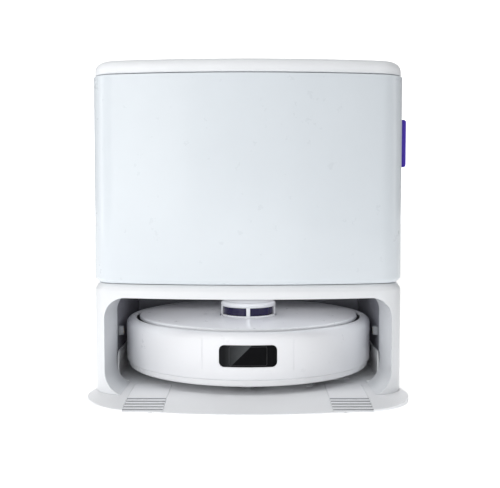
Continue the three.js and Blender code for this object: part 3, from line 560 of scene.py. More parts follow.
# Shades that no CAD node carries, for pieces whose slot has another colour or grain.
GUIDE_WHITE = plastic("guide_white", (0.95, 0.96, 0.97), 0.32, grain=0.03)
FRAME_BLACK = plastic("frame_black", (0.045, 0.046, 0.05), 0.35, grain=0.03)
WHEEL_GREY = plastic("wheel_grey", (0.42, 0.43, 0.45), 0.55, grain=0.12)
BRISTLE_GREY = plastic("bristle_grey", (0.55, 0.56, 0.58), 0.6, grain=0.1)
RIB_GREY = plastic("rib_grey", (0.36, 0.37, 0.39), 0.6, grain=0.22, grain_scale=1500.0)
SENSOR_GLASS = sensor_glass("sensor_glass")
TAB_VIOLET = webbing("tab_violet", (0.092, 0.042, 0.56))
SOFT_GREY = rubber("soft_grey", (0.10, 0.10, 0.115), 0.6)
GOLD = brushed_metal("contact_gold", (0.75, 0.60, 0.32), 0.25)


def finish(obj, slot_name, body, *nodes, shade=None):
    """Gives a piece its slot's material, or the shade given instead, and the body it rides on, and hides
    the CAD nodes it stands for.
    """
    obj.data.materials.clear()
    obj.data.materials.append(shade or SLOT_OF[slot_name])
    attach(obj, body)
    if nodes:
        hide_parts(*nodes)
    return obj


def dress_cad_nodes():
    """Every CAD node that stays gets its slot's material."""
    for row in frame["record"]["subparts"]:
        mesh = frame["nodes"][row["node"]].data
        mesh.materials.clear()
        mesh.materials.append(SLOT_OF[row["material_slot"]])


# ---- the station's outside ------------------------------------------------------------------


def rounding(inset_a, z_a, inset_b, z_b, steps):
    """A quarter ellipse from a vertical wall at a to a level face at b, as [inset, z] levels."""
    levels = []
    for i in range(steps + 1):
        angle = math.pi / 2 * i / steps
        inset = inset_a + (inset_b - inset_a) * (1 - math.cos(angle))
        levels.append((inset, z_a + (z_b - z_a) * math.sin(angle)))
    return levels


def make_lid():
    low, high = LID_LOW[2], LID_HIGH[2]
    skirt = [(3.5, low), (2.4, low + 0.35), (2, low + 1.2)]
    shell = body_loft("lid_shell", skirt + rounding(2, high - 12, 15, high, 14))
    hollow = body_loft("hollow", [(8, low - 1), (8, high - 5)])
    notches = []
    for x in (-LID_HINGE_X, LID_HINGE_X):
        y = (LID_AXIS_Y - 5, LID_AXIS_Y + 20)
        notches.append(block("notch", (x - 6.5, x + 6.5), y, (low - 1, LID_AXIS_Z + 4)))
    carve(shell, hollow, *notches)
    finish(soften(shell, 0.5), "white_shell", "lid", "top_lid")
    section = rounded_box((LID_AXIS_Y - 4, LID_AXIS_Y + 4.2), (LID_AXIS_Z - 4, high - 4.6), 3.9, 0.5)
    for side, word in SIDES:
        for n, offset in enumerate((-10, 10)):
            x = side * LID_HINGE_X + offset
            ear = prism(f"lid_ear_{word}_{n}", section, x - 3, x + 3, "x")
            finish(soften(ear, 0.3), "white_shell", "lid")


def make_door():
    low, high = DOOR_LOW[2], DOOR_HIGH[2]
    profile = [(5, low), (0.25, GROOVE_Z + 5.6), (0, GROOVE_Z + 6.6), (0, high - 1.0)]
    profile += [(0.3, high - 0.3), (1, high), (4, high), (4, 156), (9, 153), (9, low)]
    panel = body_sweep("door_panel", profile, bow_path, end_y=-113.2)
    cutters = [block("slot", (192, 200), (-120, -115.5), (296.6, 358.4))]
    for z in DOOR_LUG_Z:
        cutters.append(block("notch", (-200, -190), (-119.5, -105), (z - 8.1, z + 8.1)))
    carve(panel, *cutters)
    finish(soften(panel, 0.5), "door_gloss", "door", "front_door")
    for n, (a, b) in enumerate(((155, 184.3), (200.7, 364.3), (380.7, high))):
        bead = lathe(f"door_knuckle_{n}", bar(1.5, 2.6, a, b, 0.2), DOOR_AXIS, 24, closed=True)
        finish(bead, "door_gloss", "door")


def make_pull_tab():
    """A folded loop of webbing with a stitched seam."""
    low, high = span("pull_tab")
    body = prism("pull_tab_loop", rounded_box((low[0] + 2, high[0]), (297, 358), 3.2), -119.4, -116.0, "y")
    flange = block("flange", (low[0], 192.9), (-122.4, -115.95), (292, 363))
    joined_tab = boolean(body, [flange], "UNION")
    groove = block("groove", (198, 210), (-118.0, -117.4), (290, 365))
    finish(soften(carve(joined_tab, groove), 0.5), "tab_violet", "door", "pull_tab", shade=TAB_VIOLET)
    stitches = []
    for i in range(15):
        z = 300.5 + i * 3.9
        stitches.append(block("stitch", (200.2, 200.9), (-119.75, -119.3), (z, z + 2.2)))
    finish(soften(joined("tab_stitches", *stitches), 0.15, 2), "tab_violet", "door", shade=TAB_VIOLET)


def arch_outline(grow=0.0):
    half = ARCH["half"] + grow
    z = (ARCH["low"], ARCH["top"] + grow)
    return rounded_box((-half, half), z, ARCH["low_r"], ARCH["top_r"] + grow, 20)


def guide_clearance():
    """The room that the guides' front ends take out of the arch's lip."""
    face = [(160, -83.8)] + bezier((160, -83.8), (182.4, -80.8), (182.4, -45), 16) + [(182.4, 0), (100, 0)]
    right = prism("room", face + [(100, -83.8)], 0, 46)
    left = prism("room", [(-x, y) for x, y in face] + [(-100, -83.8)], 0, 46)
    return [right, left]


def make_arch_reveal():
    """The arch's lip: it runs back into the bay and tapers in a little."""
    low = TRACK_Z + 0.3
    outside = rounded_box((-184.8, 184.8), (low, 133.8), 0.1, 29.8, 20)
    lip = prism("arch_lip", outside, -200, REVEAL_REAR, "y")
    depth = REVEAL_REAR - REVEAL_FRONT
    stations = [(0.0, -205), (0.0, -175)]
    stations += [(REVEAL_TAPER * i / 6, REVEAL_FRONT + depth * i / 6) for i in range(7)]
    stations.append((REVEAL_TAPER, REVEAL_REAR + 10))
    rings = [[(x, y, z) for x, z in arch_outline(-taper)] for taper, y in stations]
    opening = loft("opening", rings)
    port = block("port", (-111.2, -78.8), (-106.2, -73.8), (120, 140))
    carve(lip, opening, port, *guide_clearance())
    return keep_inside(lip, body_loft("bound", [(1, 0), (1, 140)]))


def make_lower_housing():
    low, high = HOUSING_LOW[2], HOUSING_HIGH[2]
    profile = [(0, low), (0, 140.2), (0.25, 141.6), (4.4, high - 0.8), (5.4, high)]
    profile += [(14, high), (14, 138), (3, 138), (3, low)]
    shell = body_sweep("housing_shell", profile)
    arch = prism("arch", arch_outline(), -200, -100, "y")
    panel = prism("panel", rounded_box((-150, 150), (32, 128), 8), REAR_Y - 10, REAR_Y + 10, "y")
    carve(shell, arch, panel)
    boolean(shell, [make_arch_reveal()], "UNION")
    finish(soften(shell, 1.3, 4), "white_shell", "station", "lower_housing")


def make_bay_lining():
    """The bay's walls and ceiling as one arched skin, and its back wall."""
    low = span("cavity_liner")[0][2]
    quarter = math.pi / 2

    def arch(grow):
        half, top, r = ARCH["half"] + grow, ARCH["top"] + grow, ARCH["top_r"] + grow
        points = [(half, low), (half, 60)] + arc(half - r, top - r, r, 0, quarter, 20)
        points += [(x, top) for x in range(120, -121, -20)]
        points += arc(r - half, top - r, r, quarter, 2 * quarter, 20)
        return points + [(-half, 60), (-half, low)]

    inner, outer = arch(0.0), arch(1.8)
    sections = ((inner, REVEAL_REAR + 0.3), (inner, 190), (outer, 191.6), (outer, REVEAL_REAR + 0.3))
    rings = [[(x, y, z) for x, z in line] for line, y in sections]
    lining = loft("bay_lining", rings, loop=False, wrap=True)
    windows = [block("window", (x - 4, x + 4), (-26.1, -13.9), (62.4, 75.6)) for x in (-184, 184)]
    carve(lining, *windows)
    # The lining's dark liner grey is partly painted shade for the bay's shadowed walls and ceiling.
    finish(soften(lining, 0.4), "liner_grey", "station", "cavity_liner")
    half = ARCH["half"] - 0.4
    outline = rounded_box((-half, half), (low, ARCH["top"] - 0.4), 2, ARCH["top_r"])
    wall = prism("bay_back_wall", outline, 190.2, 191.6, "y")
    finish(soften(wall, 0.3), "liner_grey", "station")


def ramp_z(y):
    share = max(0.0, (RAMP_TOP - y) / (RAMP_TOP - FLARE["front"]))
    return TRACK_Z - share * (TRACK_Z - RAMP_EDGE_Z)


def make_tray():
    """The tray: its deck slopes down ahead of the bay and is recessed for what it carries."""
    ahead = FLARE["front"] - 8
    tray = prism("tray_body", tray_outline(), TRAY_LOW[2], TRACK_Z)
    slope = [(RAMP_TOP, TRACK_Z), (RAMP_TOP, 20), (ahead, 20), (ahead, ramp_z(ahead))]
    cutters = [prism("slope", slope, -210, 210, "x")]
    cutters.append(block("wash", (-118.3, 118.3), (29.7, 164.3), (3, 20)))
    for y in (-152, 196):
        cutters.append(prism("foot", rounded_box((-150.3, 150.3), (y - 6.3, y + 6.3), 6.2), 0, 2.7))
    for s in (-1, 1):
        x = sorted((s * 101.7, s * 151.3))
        section = [(-94.7, 14), (-94.7, TRACK_Z - 1.5), (RAMP_TOP, TRACK_Z - 1.5)]
        section += [(-222.3, ramp_z(-222.3) - 1.5), (-222.3, 14)]
        cutters.append(prism("recess", section, *x, "x"))
    finish(soften(carve(tray, *cutters), 0.55, 3, 30), "tray_white", "station", "base_tray")


def make_track_pads():
    """Grip pads flush with the track, ribbed where they run down the ramp."""
    section = [(-95, TRACK_Z), (-95, TRACK_Z - 1.2), (RAMP_TOP, TRACK_Z - 1.2)]
    section.append((-222, ramp_z(-222) - 1.2))
    section += [(-222, ramp_z(-222)), (RAMP_TOP, TRACK_Z)]
    pad = prism("track_pad_right_grip", section, 102, 151, "x")
    ribs = []
    for i in range(5):
        y = -174 - 10.3 * i
        z = ramp_z(y)
        outline = rounded_box((y - 1.7, y + 1.7), (z - 0.8, z + 0.7), 0.1, 0.6, 4)
        ribs.append(prism("rib", outline, 102.4, 150.6, "x"))
    soften(pad, 0.35, 2)
    finish(mirror_copy(pad, "track_pad_left_grip"), "pad_grey", "station", "track_pad_left")
    finish(pad, "pad_grey", "station", "track_pad_right")
    right = soften(joined("track_ribs_right", *ribs), 0.3, 2)
    finish(mirror_copy(right, "track_ribs_left"), "pad_grey", "station", shade=RIB_GREY)
    finish(right, "pad_grey", "station", shade=RIB_GREY)


def guide_top(y):
    """The height of a guide: low at its tip, a quick rise, level, and a dip at the back."""
    if y < -66:
        return 10.5 + (y + 83) * 7 / 17
    if y < -44:
        rise = (y + 66) / 22
        return 17.5 + 27 * rise * rise * (3 - 2 * rise)
    if y > 70:
        return 44.5 - 18 * ((y - 70) / 30) ** 2
    return 44.5


def make_guides():
    """The cheeks that steer the robot in: thin walls that sweep inwards at their front ends."""
    half_thick = 1.25
    low = TRACK_Z + 0.4
    sweep = [i / 20 * math.pi / 2 for i in range(21)]
    path = [(160.6 + 20 * math.sin(a), -82 + 37 * (1 - math.cos(a))) for a in sweep]
    path += [(180.6, -45 + 145 * i / 20) for i in range(1, 21)]
    turns = [math.pi * k / 8 for k in range(9)]
    rings = []
    for i, (x, y) in enumerate(path):
        ax, ay = path[max(i - 1, 0)]
        bx, by = path[min(i + 1, len(path) - 1)]
        length = math.hypot(bx - ax, by - ay)
        nx, ny = (by - ay) / length * half_thick, -(bx - ax) / length * half_thick
        z = guide_top(y) - 1.2
        crown = [(x + nx * math.cos(a), y + ny * math.cos(a), z + 1.2 * math.sin(a)) for a in turns]
        rings.append([(x - nx, y - ny, low), (x + nx, y + ny, low)] + crown)
    right = loft("guide_right_wing", rings)
    left = mirror_copy(right, "guide_left_wing")
    finish(right, "white_shell", "station", "guide_right", shade=GUIDE_WHITE)
    finish(left, "white_shell", "station", "guide_left", shade=GUIDE_WHITE)


def make_contacts():
    """Sprung charging pads, each a block with two contact strips on its nose."""
    bulge = [(-25.4 + 10.8 * i / 12, 176.6 + 5.0 * abs(i / 6 - 1) ** 2.6) for i in range(13)]
    nose = [(-25.4, 182), *bulge, (-14.6, 182)]
    outline = [(x, y) for y, x in nose] + [(189.9, -14.6), (189.9, -25.4)]
    right = soften(prism("contact_right_pad", outline, 63, 75), 0.6)
    left = mirror_copy(right, "contact_left_pad")
    finish(right, "liner_grey", "contact_right", "contact_right", shade=SLOT_OF["inner_grey"])
    finish(left, "liner_grey", "contact_left", "contact_left", shade=SLOT_OF["inner_grey"])
    strips = [block("strip", (176.52, 177.5), (-21.6, -18.4), (z, z + 2.6)) for z in (65.2, 70.2)]
    right_strips = soften(joined("contact_right_strips", *strips), 0.3, 2)
    left_strips = mirror_copy(right_strips, "contact_left_strips")
    finish(right_strips, "steel", "contact_right", shade=GOLD)
    finish(left_strips, "steel", "contact_left", shade=GOLD)


def make_upper_housing():
    low, high = UPPER_LOW[2], RIM_Z
    profile = [(5, low), (0.25, GROOVE_Z + 5.6), (0, GROOVE_Z + 6.6), (0, high - 0.7), (0.7, high)]
    profile += [(2.4, high), (3, high - 0.6), (3, 155), (9.2, 153), (9.2, low)]
    walls = body_sweep("housing_walls", profile, rear_path, end_y=-111.8)
    finish(soften(walls, 0.5), "white_shell", "station", "upper_housing")
    for side, word in SIDES:
        x = sorted((side * 178, side * 194.8))
        post = soften(block(f"housing_post_{word}", x, (-111.8, -106), (154, 405)), 0.8)
        finish(post, "white_shell", "station")
        make_lid_bracket(side, word)
    for n, z in enumerate(DOOR_LUG_Z):
        lug = lathe(f"door_lug_{n}", bar(1.55, 2.6, z - 7.5, z + 7.5), DOOR_AXIS, 24, closed=True)
        finish(lug, "white_shell", "station")
        tie = soften(block(f"door_lug_tie_{n}", (-197.8, -193), (-112.6, -108), (z - 7.4, z + 7.4)), 0.3)
        finish(tie, "white_shell", "station")


def make_lid_bracket(side, word):
    x = side * LID_HINGE_X
    y = LID_AXIS_Y
    outline = arc(y, LID_AXIS_Z, 3.5, 0, math.pi, 12) + [(y - 3.5, 382), (REAR_Y - 2.2, 382)]
    outline += [(REAR_Y - 2.2, 392), (y + 3.5, 392)]
    bracket = prism(f"lid_bracket_{word}", outline, x - 5, x + 5, "x")
    bore = prism("bore", circle(y, LID_AXIS_Z, 2.4), x - 12, x + 12, "x")
    finish(soften(carve(bracket, bore), 0.4), "white_shell", "station")


def make_rear_cover():
    outline = rounded_box((-149.6, 149.6), (32.4, 127.6), 7.6)
    panel = prism("rear_panel", outline, REAR_Y - 3.2, REAR_Y - 0.4, "y")
    cutters = []
    for i in range(5):
        z = 56 + 11 * i
        cutters.append(rounded_box((40, 120), (z, z + 4), 1.9))
    cutters.append(rounded_box((-125.8, -94.2), (40.2, 63.8), 1.5))
    carve(panel, *[prism("cutter", hole, REAR_Y - 12, REAR_Y + 4, "y") for hole in cutters])
    finish(soften(panel, 0.5), "white_shell", "station", "rear_cover")


def make_power_inlet():
    low, high = span("power_inlet")
    outline = rounded_box((low[0], high[0]), (low[2], high[2]), 1.6)
    body = prism("inlet_body", outline, low[1], high[1], "y")
    mouth = rounded_box((-121, -99), (45, 59), 6.9)
    carve(body, prism("socket", mouth, low[1] + 3, high[1] + 3, "y"))
    finish(soften(body, 0.6), "dark_plastic", "station", "power_inlet")
    for n, x in enumerate((-114, -106)):
        pin = prism(f"inlet_pin_{n}", circle(x, 52, 1.3), low[1] + 2.6, high[1] - 4.5, "y")
        finish(soften(pin, 0.4), "steel", "station")


def make_feet():
    for word in ("front", "rear"):
        low, high = span(f"rubber_foot_{word}")
        outline = rounded_box((low[0], high[0]), (low[1], high[1]), 5.9)
        strip = prism(f"foot_{word}_strip", outline, low[2], high[2])
        finish(soften(strip, 0.5), "rubber", "station", f"rubber_foot_{word}")


def make_washing_tray():
    low, high = span("washing_tray")
    outer = rounded_box((low[0], high[0]), (low[1], high[1]), 15)
    inner = rounded_box((low[0] + 2, high[0] - 2), (low[1] + 2, high[1] - 2), 13)
    basin = carve(prism("wash_basin", outer, low[2], high[2]), prism("inner", inner, 4.6, 20))
    finish(soften(basin, 0.5), "inner_grey", "station", "washing_tray")
    lines = [rounded_box((x - 1.5, x + 1.5), (44, 150), 1.4) for x in (-96, -64, -32, 32, 64, 96)]
    ribs = [prism("rib", line, 4.4, 7.4) for line in lines]
    finish(soften(joined("wash_ribs", *ribs), 0.5), "inner_grey", "station")


# ---- the robot's outside --------------------------------------------------------------------

def wall_profile():
    """The section of the robot's side wall, with its rounded shoulder, as a closed loop."""
    low, high = BUMPER_LOW[2], BUMPER_HIGH[2]
    outer = [(ROBOT_R - 5, low), (ROBOT_R - 1.8, low), (ROBOT_R - 0.5, low + 0.8), (ROBOT_R, low + 2.5)]
    shoulder = rounding(0, high - 9.5, 9.5, high, 10)
    outer += [(ROBOT_R - inset, z) for inset, z in shoulder]
    lip = [(162.2, high), (161.3, high - 0.5), (161, high - 1.4), (161, high - 3), (165, high - 3.4)]
    return outer + lip + [(ROBOT_R - 3.5, high - 10), (ROBOT_R - 3, high - 11), (ROBOT_R - 3, low + 4)]


def window_outline(grow=0.0):
    low, high = span("sensor_window")
    x = (low[0] - grow, high[0] + grow)
    return rounded_box(x, (low[2] - grow, high[2] + grow), 6.5 + grow, steps=10)


def wall_band(inner, outer):
    """A ring round the robot, between two radii, as high as its wall."""
    section = [(inner, 30), (outer, 30), (outer, 90), (inner, 90)]
    return lathe("band", section, CENTRE, 160, closed=True)


def make_bumper():
    reach = math.asin(2 / ROBOT_R)
    shell = lathe("bumper_shell", wall_profile(), CENTRE, 120, math.pi - reach, math.pi + 2 * reach)
    recess = prism("recess", window_outline(0.3), -190, -120, "y")
    cutters = [keep_inside(recess, wall_band(ROBOT_R - 1.7, ROBOT_R + 4))]
    for x in (-58, 58):
        seam = block("seam", (x - 0.45, x + 0.45), (-200, -100), (41, 83.5))
        cutters.append(keep_inside(seam, wall_band(ROBOT_R - 0.9, ROBOT_R + 4)))
    carve(shell, *cutters)
    finish(soften(shell, 0.15, 2, 40), "robot_white", "bumper", "bumper")


def make_sensor_window():
    """A gloss black lens with a thin frame round the camera behind it."""
    low, high = span("sensor_window")
    lens = prism("sensor_lens", window_outline(), -190, -120, "y")
    keep_inside(lens, wall_band(ROBOT_R - 1.4, ROBOT_R - 0.1))
    finish(soften(lens, 0.2, 2, 40), "black_gloss", "bumper", "sensor_window", shade=SENSOR_GLASS)
    edges = []
    for inset in (0.0, 0.45):
        half = 24 - inset
        z = (low[2] + 1.6 + inset, high[2] - 1.6 - inset)
        outline = rounded_box((-half, half), z, 2.6 - inset, steps=6)
        edges.append(prism("lens_bezel", outline, -190, -120, "y"))
    bezel = keep_inside(carve(*edges), wall_band(ROBOT_R - 0.8, ROBOT_R - 0.02))
    finish(bezel, "black_gloss", "bumper", shade=FRAME_BLACK)


def make_rear_shell():
    start = math.asin(6.2 / ROBOT_R)
    shell = lathe("rear_shell", wall_profile(), CENTRE, 120, start, math.pi - 2 * start)
    finish(soften(shell, 0.4, 3, 40), "robot_white", "robot", "robot_rear_shell")


def make_robot_deck():
    low, high = DECK_LOW[2], DECK_HIGH[2]
    radius = DECK_HIGH[0]
    profile = [(0, low), (radius - 0.5, low), (radius, low + 0.5)]
    profile += [(radius - inset, z) for inset, z in rounding(0, high - 2.4, 2.4, high - 0.25, 8)]
    profile += [(radius - 12, high - 0.05), (radius - 40, high), (0, high)]
    disc = lathe("deck_lid", profile, CENTRE, 160)
    hole = lathe("hole", [(TOWER_R + 1.6, 70), (TOWER_R + 1.6, 100)], (0, TOWER_Y), 96)
    finish(soften(carve(disc, hole), 0.7, 3, 40), "robot_white", "deck_cover", "robot_deck")


def make_tower():
    """The laser turret: sill, posts and cap in white round a dark violet window."""
    make_tower_sill()
    make_tower_cap()
    for n in range(4):
        centre = -math.pi / 2 + n * math.pi / 2
        half = 2.6 / 37.5
        section = [(36, 92.6), (38.4, 92.6), (38.4, 104.4), (36, 104.4)]
        post = lathe(f"tower_post_{n}", section, TOWER_AT, 6, centre - half, 2 * half)
        finish(soften(post, 0.3, 2, 40), "robot_white", "robot")
    section = [(33.6, 93.4), (35.5, 93.4), (35.5, 103.6), (33.6, 103.6)]
    window = lathe("tower_window", section, TOWER_AT, 96, closed=True)
    finish(soften(window, 0.2, 2, 40), "lens_violet", "robot", "lidar_window")


def make_tower_sill():
    low = TOWER_LOW[2]
    section = [(7, low), (TOWER_R - 0.4, low), (TOWER_R, low + 1), (TOWER_R - 0.2, 91.6)]
    section += [(TOWER_R - 1.4, 92.8), (36.2, 93), (36, 92), (36, low + 3), (7, low + 3)]
    sill = lathe("tower_sill", section, TOWER_AT, 96, closed=True)
    finish(soften(sill, 0.3, 2, 40), "robot_white", "robot", "lidar_tower")


def make_tower_cap():
    high = TOWER_HIGH[2]
    section = [(0, 104), (37, 104), (38.4, 104.6), (TOWER_R, 106), (TOWER_R, 107.6)]
    section += [(TOWER_R - inset, z) for inset, z in rounding(0, 107.6, 4.2, high - 0.5, 8)]
    section += [(31.5, high), (31, high - 0.5), (30.4, high - 0.5)]
    section += [(29.9, high - 0.05), (0, high - 0.05)]
    cap = lathe("tower_cap", section, TOWER_AT, 96)
    finish(cap, "robot_white", "robot")


def chassis_openings():
    """The wells of the wheels and the roller, and the holes of the caster and the shafts."""
    cutters = []
    for x in (-WHEEL["x"], WHEEL["x"]):
        cutters.append(block("well", (x - 14, x + 14), (ROBOT_Y - 39, ROBOT_Y + 39), (10, 26)))
    cutters.append(block("slot", (-80, 80), (ROBOT_Y - 57, ROBOT_Y - 7), (10, 26)))
    cutters.append(lathe("caster_hole", [(20.5, 10), (20.5, 25)], CASTER_AT, 48))
    cutters.append(lathe("shaft_hole", [(3.8, 10), (3.8, 25)], SIDE_BRUSH_AT, 24))
    for x in (-MOP_X, MOP_X):
        cutters.append(lathe("mop_hole", [(5.8, 10), (5.8, 25)], (x, MOP_Y), 32))
    return cutters


def make_chassis():
    low, high = span("robot_chassis")
    radius = high[0]
    turns = [math.pi / 2 * i / 8 for i in range(1, 9)]
    profile = [(0, low[2]), (radius - 7, low[2])]
    profile += [(radius - 7 * (1 - math.sin(a)), low[2] + 4.5 * (1 - math.cos(a))) for a in turns]
    profile += [(radius, 27.4), (radius - 0.6, 28), (162, 28), (162, 21.8), (0, 21.8)]
    pan = lathe("chassis_pan", profile, CENTRE, 160)
    carve(pan, *chassis_openings())
    finish(soften(pan, 0.6, 2, 40), "tray_white", "robot", "robot_chassis")
    section = [(20.5, 21.9), (24, 21.9), (24, 49), (23, 50), (4.5, 50), (4.5, 46.5), (20.5, 46.5)]
    cup = lathe("caster_cup", section, CASTER_AT, 48, closed=True)
    finish(soften(cup, 0.4, 2, 40), "tray_white", "robot")


# ---- inside the station ---------------------------------------------------------------------


def on_both_sides(build):
    for side, word in SIDES:
        build(side, word)


def make_machine_deck():
    plate = body_loft("deck_plate", [(10.7, 149.5), (10.7, 152.1)])
    hole = lathe("hole", [(20, 140), (20, 160)], DUCT_AT, 48)
    finish(soften(carve(plate, hole), 0.4, 2), "inner_grey", "station", "tank_deck")
    wall = block("service_wall", (-185.8, 185.8), (-11.9, -9.1), (152.7, 404.8))
    grooves = [block("groove", (x - 0.8, x + 0.8), (-13, -11.2), (165, 392)) for x in range(-160, 161, 40)]
    finish(soften(carve(wall, *grooves), 0.4, 2), "inner_grey", "station", "tank_partition")
    low, high = span("tank_shelf")
    outer = cuboid("shelf", low, high)
    wide = (low[0] - 5, high[0] + 5)
    under = block("under", wide, (low[1] + 3, high[1] - 3), (low[2] - 5, high[2] - 3))
    finish(soften(carve(outer, under), 1.0), "inner_grey", "station", "tank_shelf")


def make_tank(node):
    low, high = span(node)
    x, y = (low[0] + 0.2, high[0] - 0.2), (low[1] + 0.2, high[1] - 0.2)
    tank = prism(f"{node}_shell", rounded_box(x, y, 8, 30, 12), low[2] + 0.1, high[2])
    inner = rounded_box((x[0] + 2.3, x[1] - 2.3), (y[0] + 2.3, y[1] - 2.3), 6, 27.7, 12)
    carve(tank, prism("inner", inner, low[2] + 2.6, high[2] + 5))
    finish(soften(tank, 2.0, 4), "tank_smoke", "station", node)
    make_tank_cap(node, x, y)


def make_tank_cap(node, x, y):
    low, high = span(f"{node}_cap")
    middle = (x[0] + x[1]) / 2
    plate = prism(f"{node}_cap_plate", rounded_box(x, y, 8, 30, 12), low[2] + 0.1, low[2] + 3.6)
    bow = prism("bow", rounded_box((middle - 55, middle + 55), (60, 130), 12), low[2] + 3, high[2])
    grip = rounded_box((middle - 43, middle + 43), (50, 118), 8)
    carve(bow, prism("grip", grip, low[2] + 3.7, high[2] + 9))
    boolean(plate, [bow], "UNION")
    slot = "dark_plastic" if node == "dirty_tank" else "white_shell"
    finish(soften(plate, 1.1, 4), slot, "station", f"{node}_cap")


def make_float():
    low, high = span("dirty_tank_float")
    bottom, top = low[2] + 0.1, high[2]
    profile = [(0, bottom), (13, bottom), (15.2, bottom + 0.8), (16, bottom + 3)]
    profile += [(16, top - 4), (14, top - 1), (0, top)]
    body = lathe("float_body", profile, (100, 60), 48)
    finish(body, "white_shell", "float", "dirty_tank_float")


def make_dust_bag():
    """A full bag: it bulges between its seams and puckers towards the mouth."""
    low, high = span("dust_bag")
    centre_x, centre_y = (low[0] + high[0]) / 2, (low[1] + high[1]) / 2
    half_x, half_y = (high[0] - low[0]) / 2 - 1, (high[1] - low[1]) / 2 - 1
    rings = []
    for i in range(41):
        t = i / 40
        swell = 0.62 + 0.38 * math.sin(math.pi * min(1.0, 0.08 + 0.9 * t)) ** 0.55
        z = low[2] + (high[2] - low[2]) * t
        ring = []
        for k in range(72):
            a = 2 * math.pi * k / 72
            pucker = 1 - 0.018 * math.sin(9 * a + 4 * t) * math.sin(math.pi * t) - 0.012 * math.sin(17 * a)
            c, d = math.cos(a), math.sin(a)
            x = math.copysign(abs(c) ** 0.62, c) * half_x * swell * pucker * 0.985
            y = math.copysign(abs(d) ** 0.62, d) * half_y * swell * pucker * 0.985
            ring.append((centre_x + x, centre_y + y, z))
        rings.append(ring)
    bag = loft("bag_body", rings)
    finish(bag, "bag_paper", "station", "dust_bag")


def make_bag_collar():
    collar = prism("collar_plate", rounded_box((-150, -40), (-135, -45), 6), 168.1, 171.4)
    hole = lathe("hole", [(14, 160), (14, 180)], DUCT_AT, 48)
    finish(soften(carve(collar, hole), 0.8), "dark_plastic", "station", "dust_bag_collar")


def make_suction_duct():
    profile = [(13, 132.2), (15.2, 132.2), (15.6, 132.8), (15.6, 152.6), (23.5, 152.6), (24, 153.1)]
    profile += [(24, 155.1), (23.5, 155.6), (16.4, 155.6), (15.6, 156.4), (15.6, 167.2)]
    profile += [(15.2, 167.6), (13, 167.6)]
    duct = lathe("duct_tube", profile, DUCT_AT, 64, closed=True)
    finish(soften(duct, 0.3, 2, 40), "dark_plastic", "station", "suction_duct")


def make_detergent():
    low, high = span("detergent_cartridge")
    x, y = (low[0] + 0.2, high[0] - 0.2), (low[1] + 0.2, high[1] - 0.2)
    shoulder = 317.9
    bottle = prism("bottle", rounded_box(x, y, 14, 14, 12), low[2] + 0.1, shoulder)
    neck = lathe("neck", [(0, 300), (15.8, 300), (15.8, high[2]), (0, high[2])], NECK_AT, 64)
    boolean(bottle, [neck], "UNION")
    inner = rounded_box((x[0] + 2.4, x[1] - 2.4), (y[0] + 2.4, y[1] - 2.4), 11.6, 11.6, 12)
    bore = lathe("bore", [(12, 290), (12, 345)], NECK_AT, 48)
    label = prism("label", rounded_box((74, 154), (180, 290), 6), y[0] - 5, y[0] + 0.8, "y")
    carve(bottle, prism("inner", inner, low[2] + 2.6, shoulder - 2.6), bore, label)
    finish(soften(bottle, 2.0, 4), "detergent", "station", "detergent_cartridge")
    make_bottle_cap()


def make_bottle_cap():
    """A screw cap with a knurled skirt."""
    low, high = span("cartridge_cap")
    levels = [(16.8, low[2] + 12), (16.8, low[2]), (19.0, low[2]), (19.4, low[2] + 0.6)]
    levels += [(19.4, high[2] - 3), (18.6, high[2] - 1), (17, high[2]), (0.01, high[2])]
    rings = []
    for radius, z in levels:
        depth = 0.35 if radius > 19 and z < high[2] - 2 else 0
        ring = []
        for k in range(192):
            a = 2 * math.pi * k / 192
            r = radius - depth * (1 + math.cos(48 * a)) / 2
            ring.append((NECK_AT[0] + r * math.cos(a), NECK_AT[1] + r * math.sin(a), z))
        rings.append(ring)
    finish(loft("bottle_cap", rings), "tab_violet", "station", "cartridge_cap")


def make_blower():
    """The blower with its scroll and its outlet."""
    profile = [(0, 153.1), (51, 153.1), (52, 154), (52, 184), (50, 187), (46, 190), (24, 190)]
    profile += [(23, 199), (21, 200), (0, 200)]
    scroll = lathe("blower_scroll", profile, (70, 95), 96)
    outlet = block("outlet", (104, 150), (100, 144), (156, 186))
    mouth = block("mouth", (148, 155), (103, 141), (159, 183))
    carve(boolean(scroll, [outlet], "UNION"), mouth)
    finish(soften(scroll, 1.0), "dark_plastic", "station", "station_fan")


def make_water_pump():
    pump = block("pump_body", (-150, -84), (60.2, 109.8), (153.1, 178))
    section = [(0, -90), (14, -90), (14, -44), (12, -42), (0, -42)]
    boolean(pump, [lathe("motor", section, (85, 168), 64, axis="x")], "UNION")
    finish(soften(pump, 1.2), "dark_plastic", "station", "water_pump")


def make_pins():
    for node in ("door_pin_lower", "door_pin_upper"):
        low, high = span(node)
        pin = lathe(f"{node}_rod", bar(0, 1.2, low[2], high[2]), DOOR_AXIS, 32)
        finish(pin, "steel", "station", node)
    for node in ("lid_pin_left", "lid_pin_right"):
        low, high = span(node)
        section = bar(0, 2, low[0], high[0], 0.4, 0.4)
        pin = lathe(f"{node}_rod", section, (LID_AXIS_Y, LID_AXIS_Z), 32, axis="x")
        finish(pin, "steel", "station", node)


# ---- the robot's works ----------------------------------------------------------------------


# Each of the tyre's edges: its place across the wheel, its radius, and whether the tread cuts it.
TYRE_EDGES = (
    (-10, 33.2, False),
    (-8.6, 35, True),
    (-1, 35, True),
    (1, 35, True),
    (8.6, 35, True),
    (10, 33.2, False),
    (10, 24, False),
    (-10, 24, False),
)


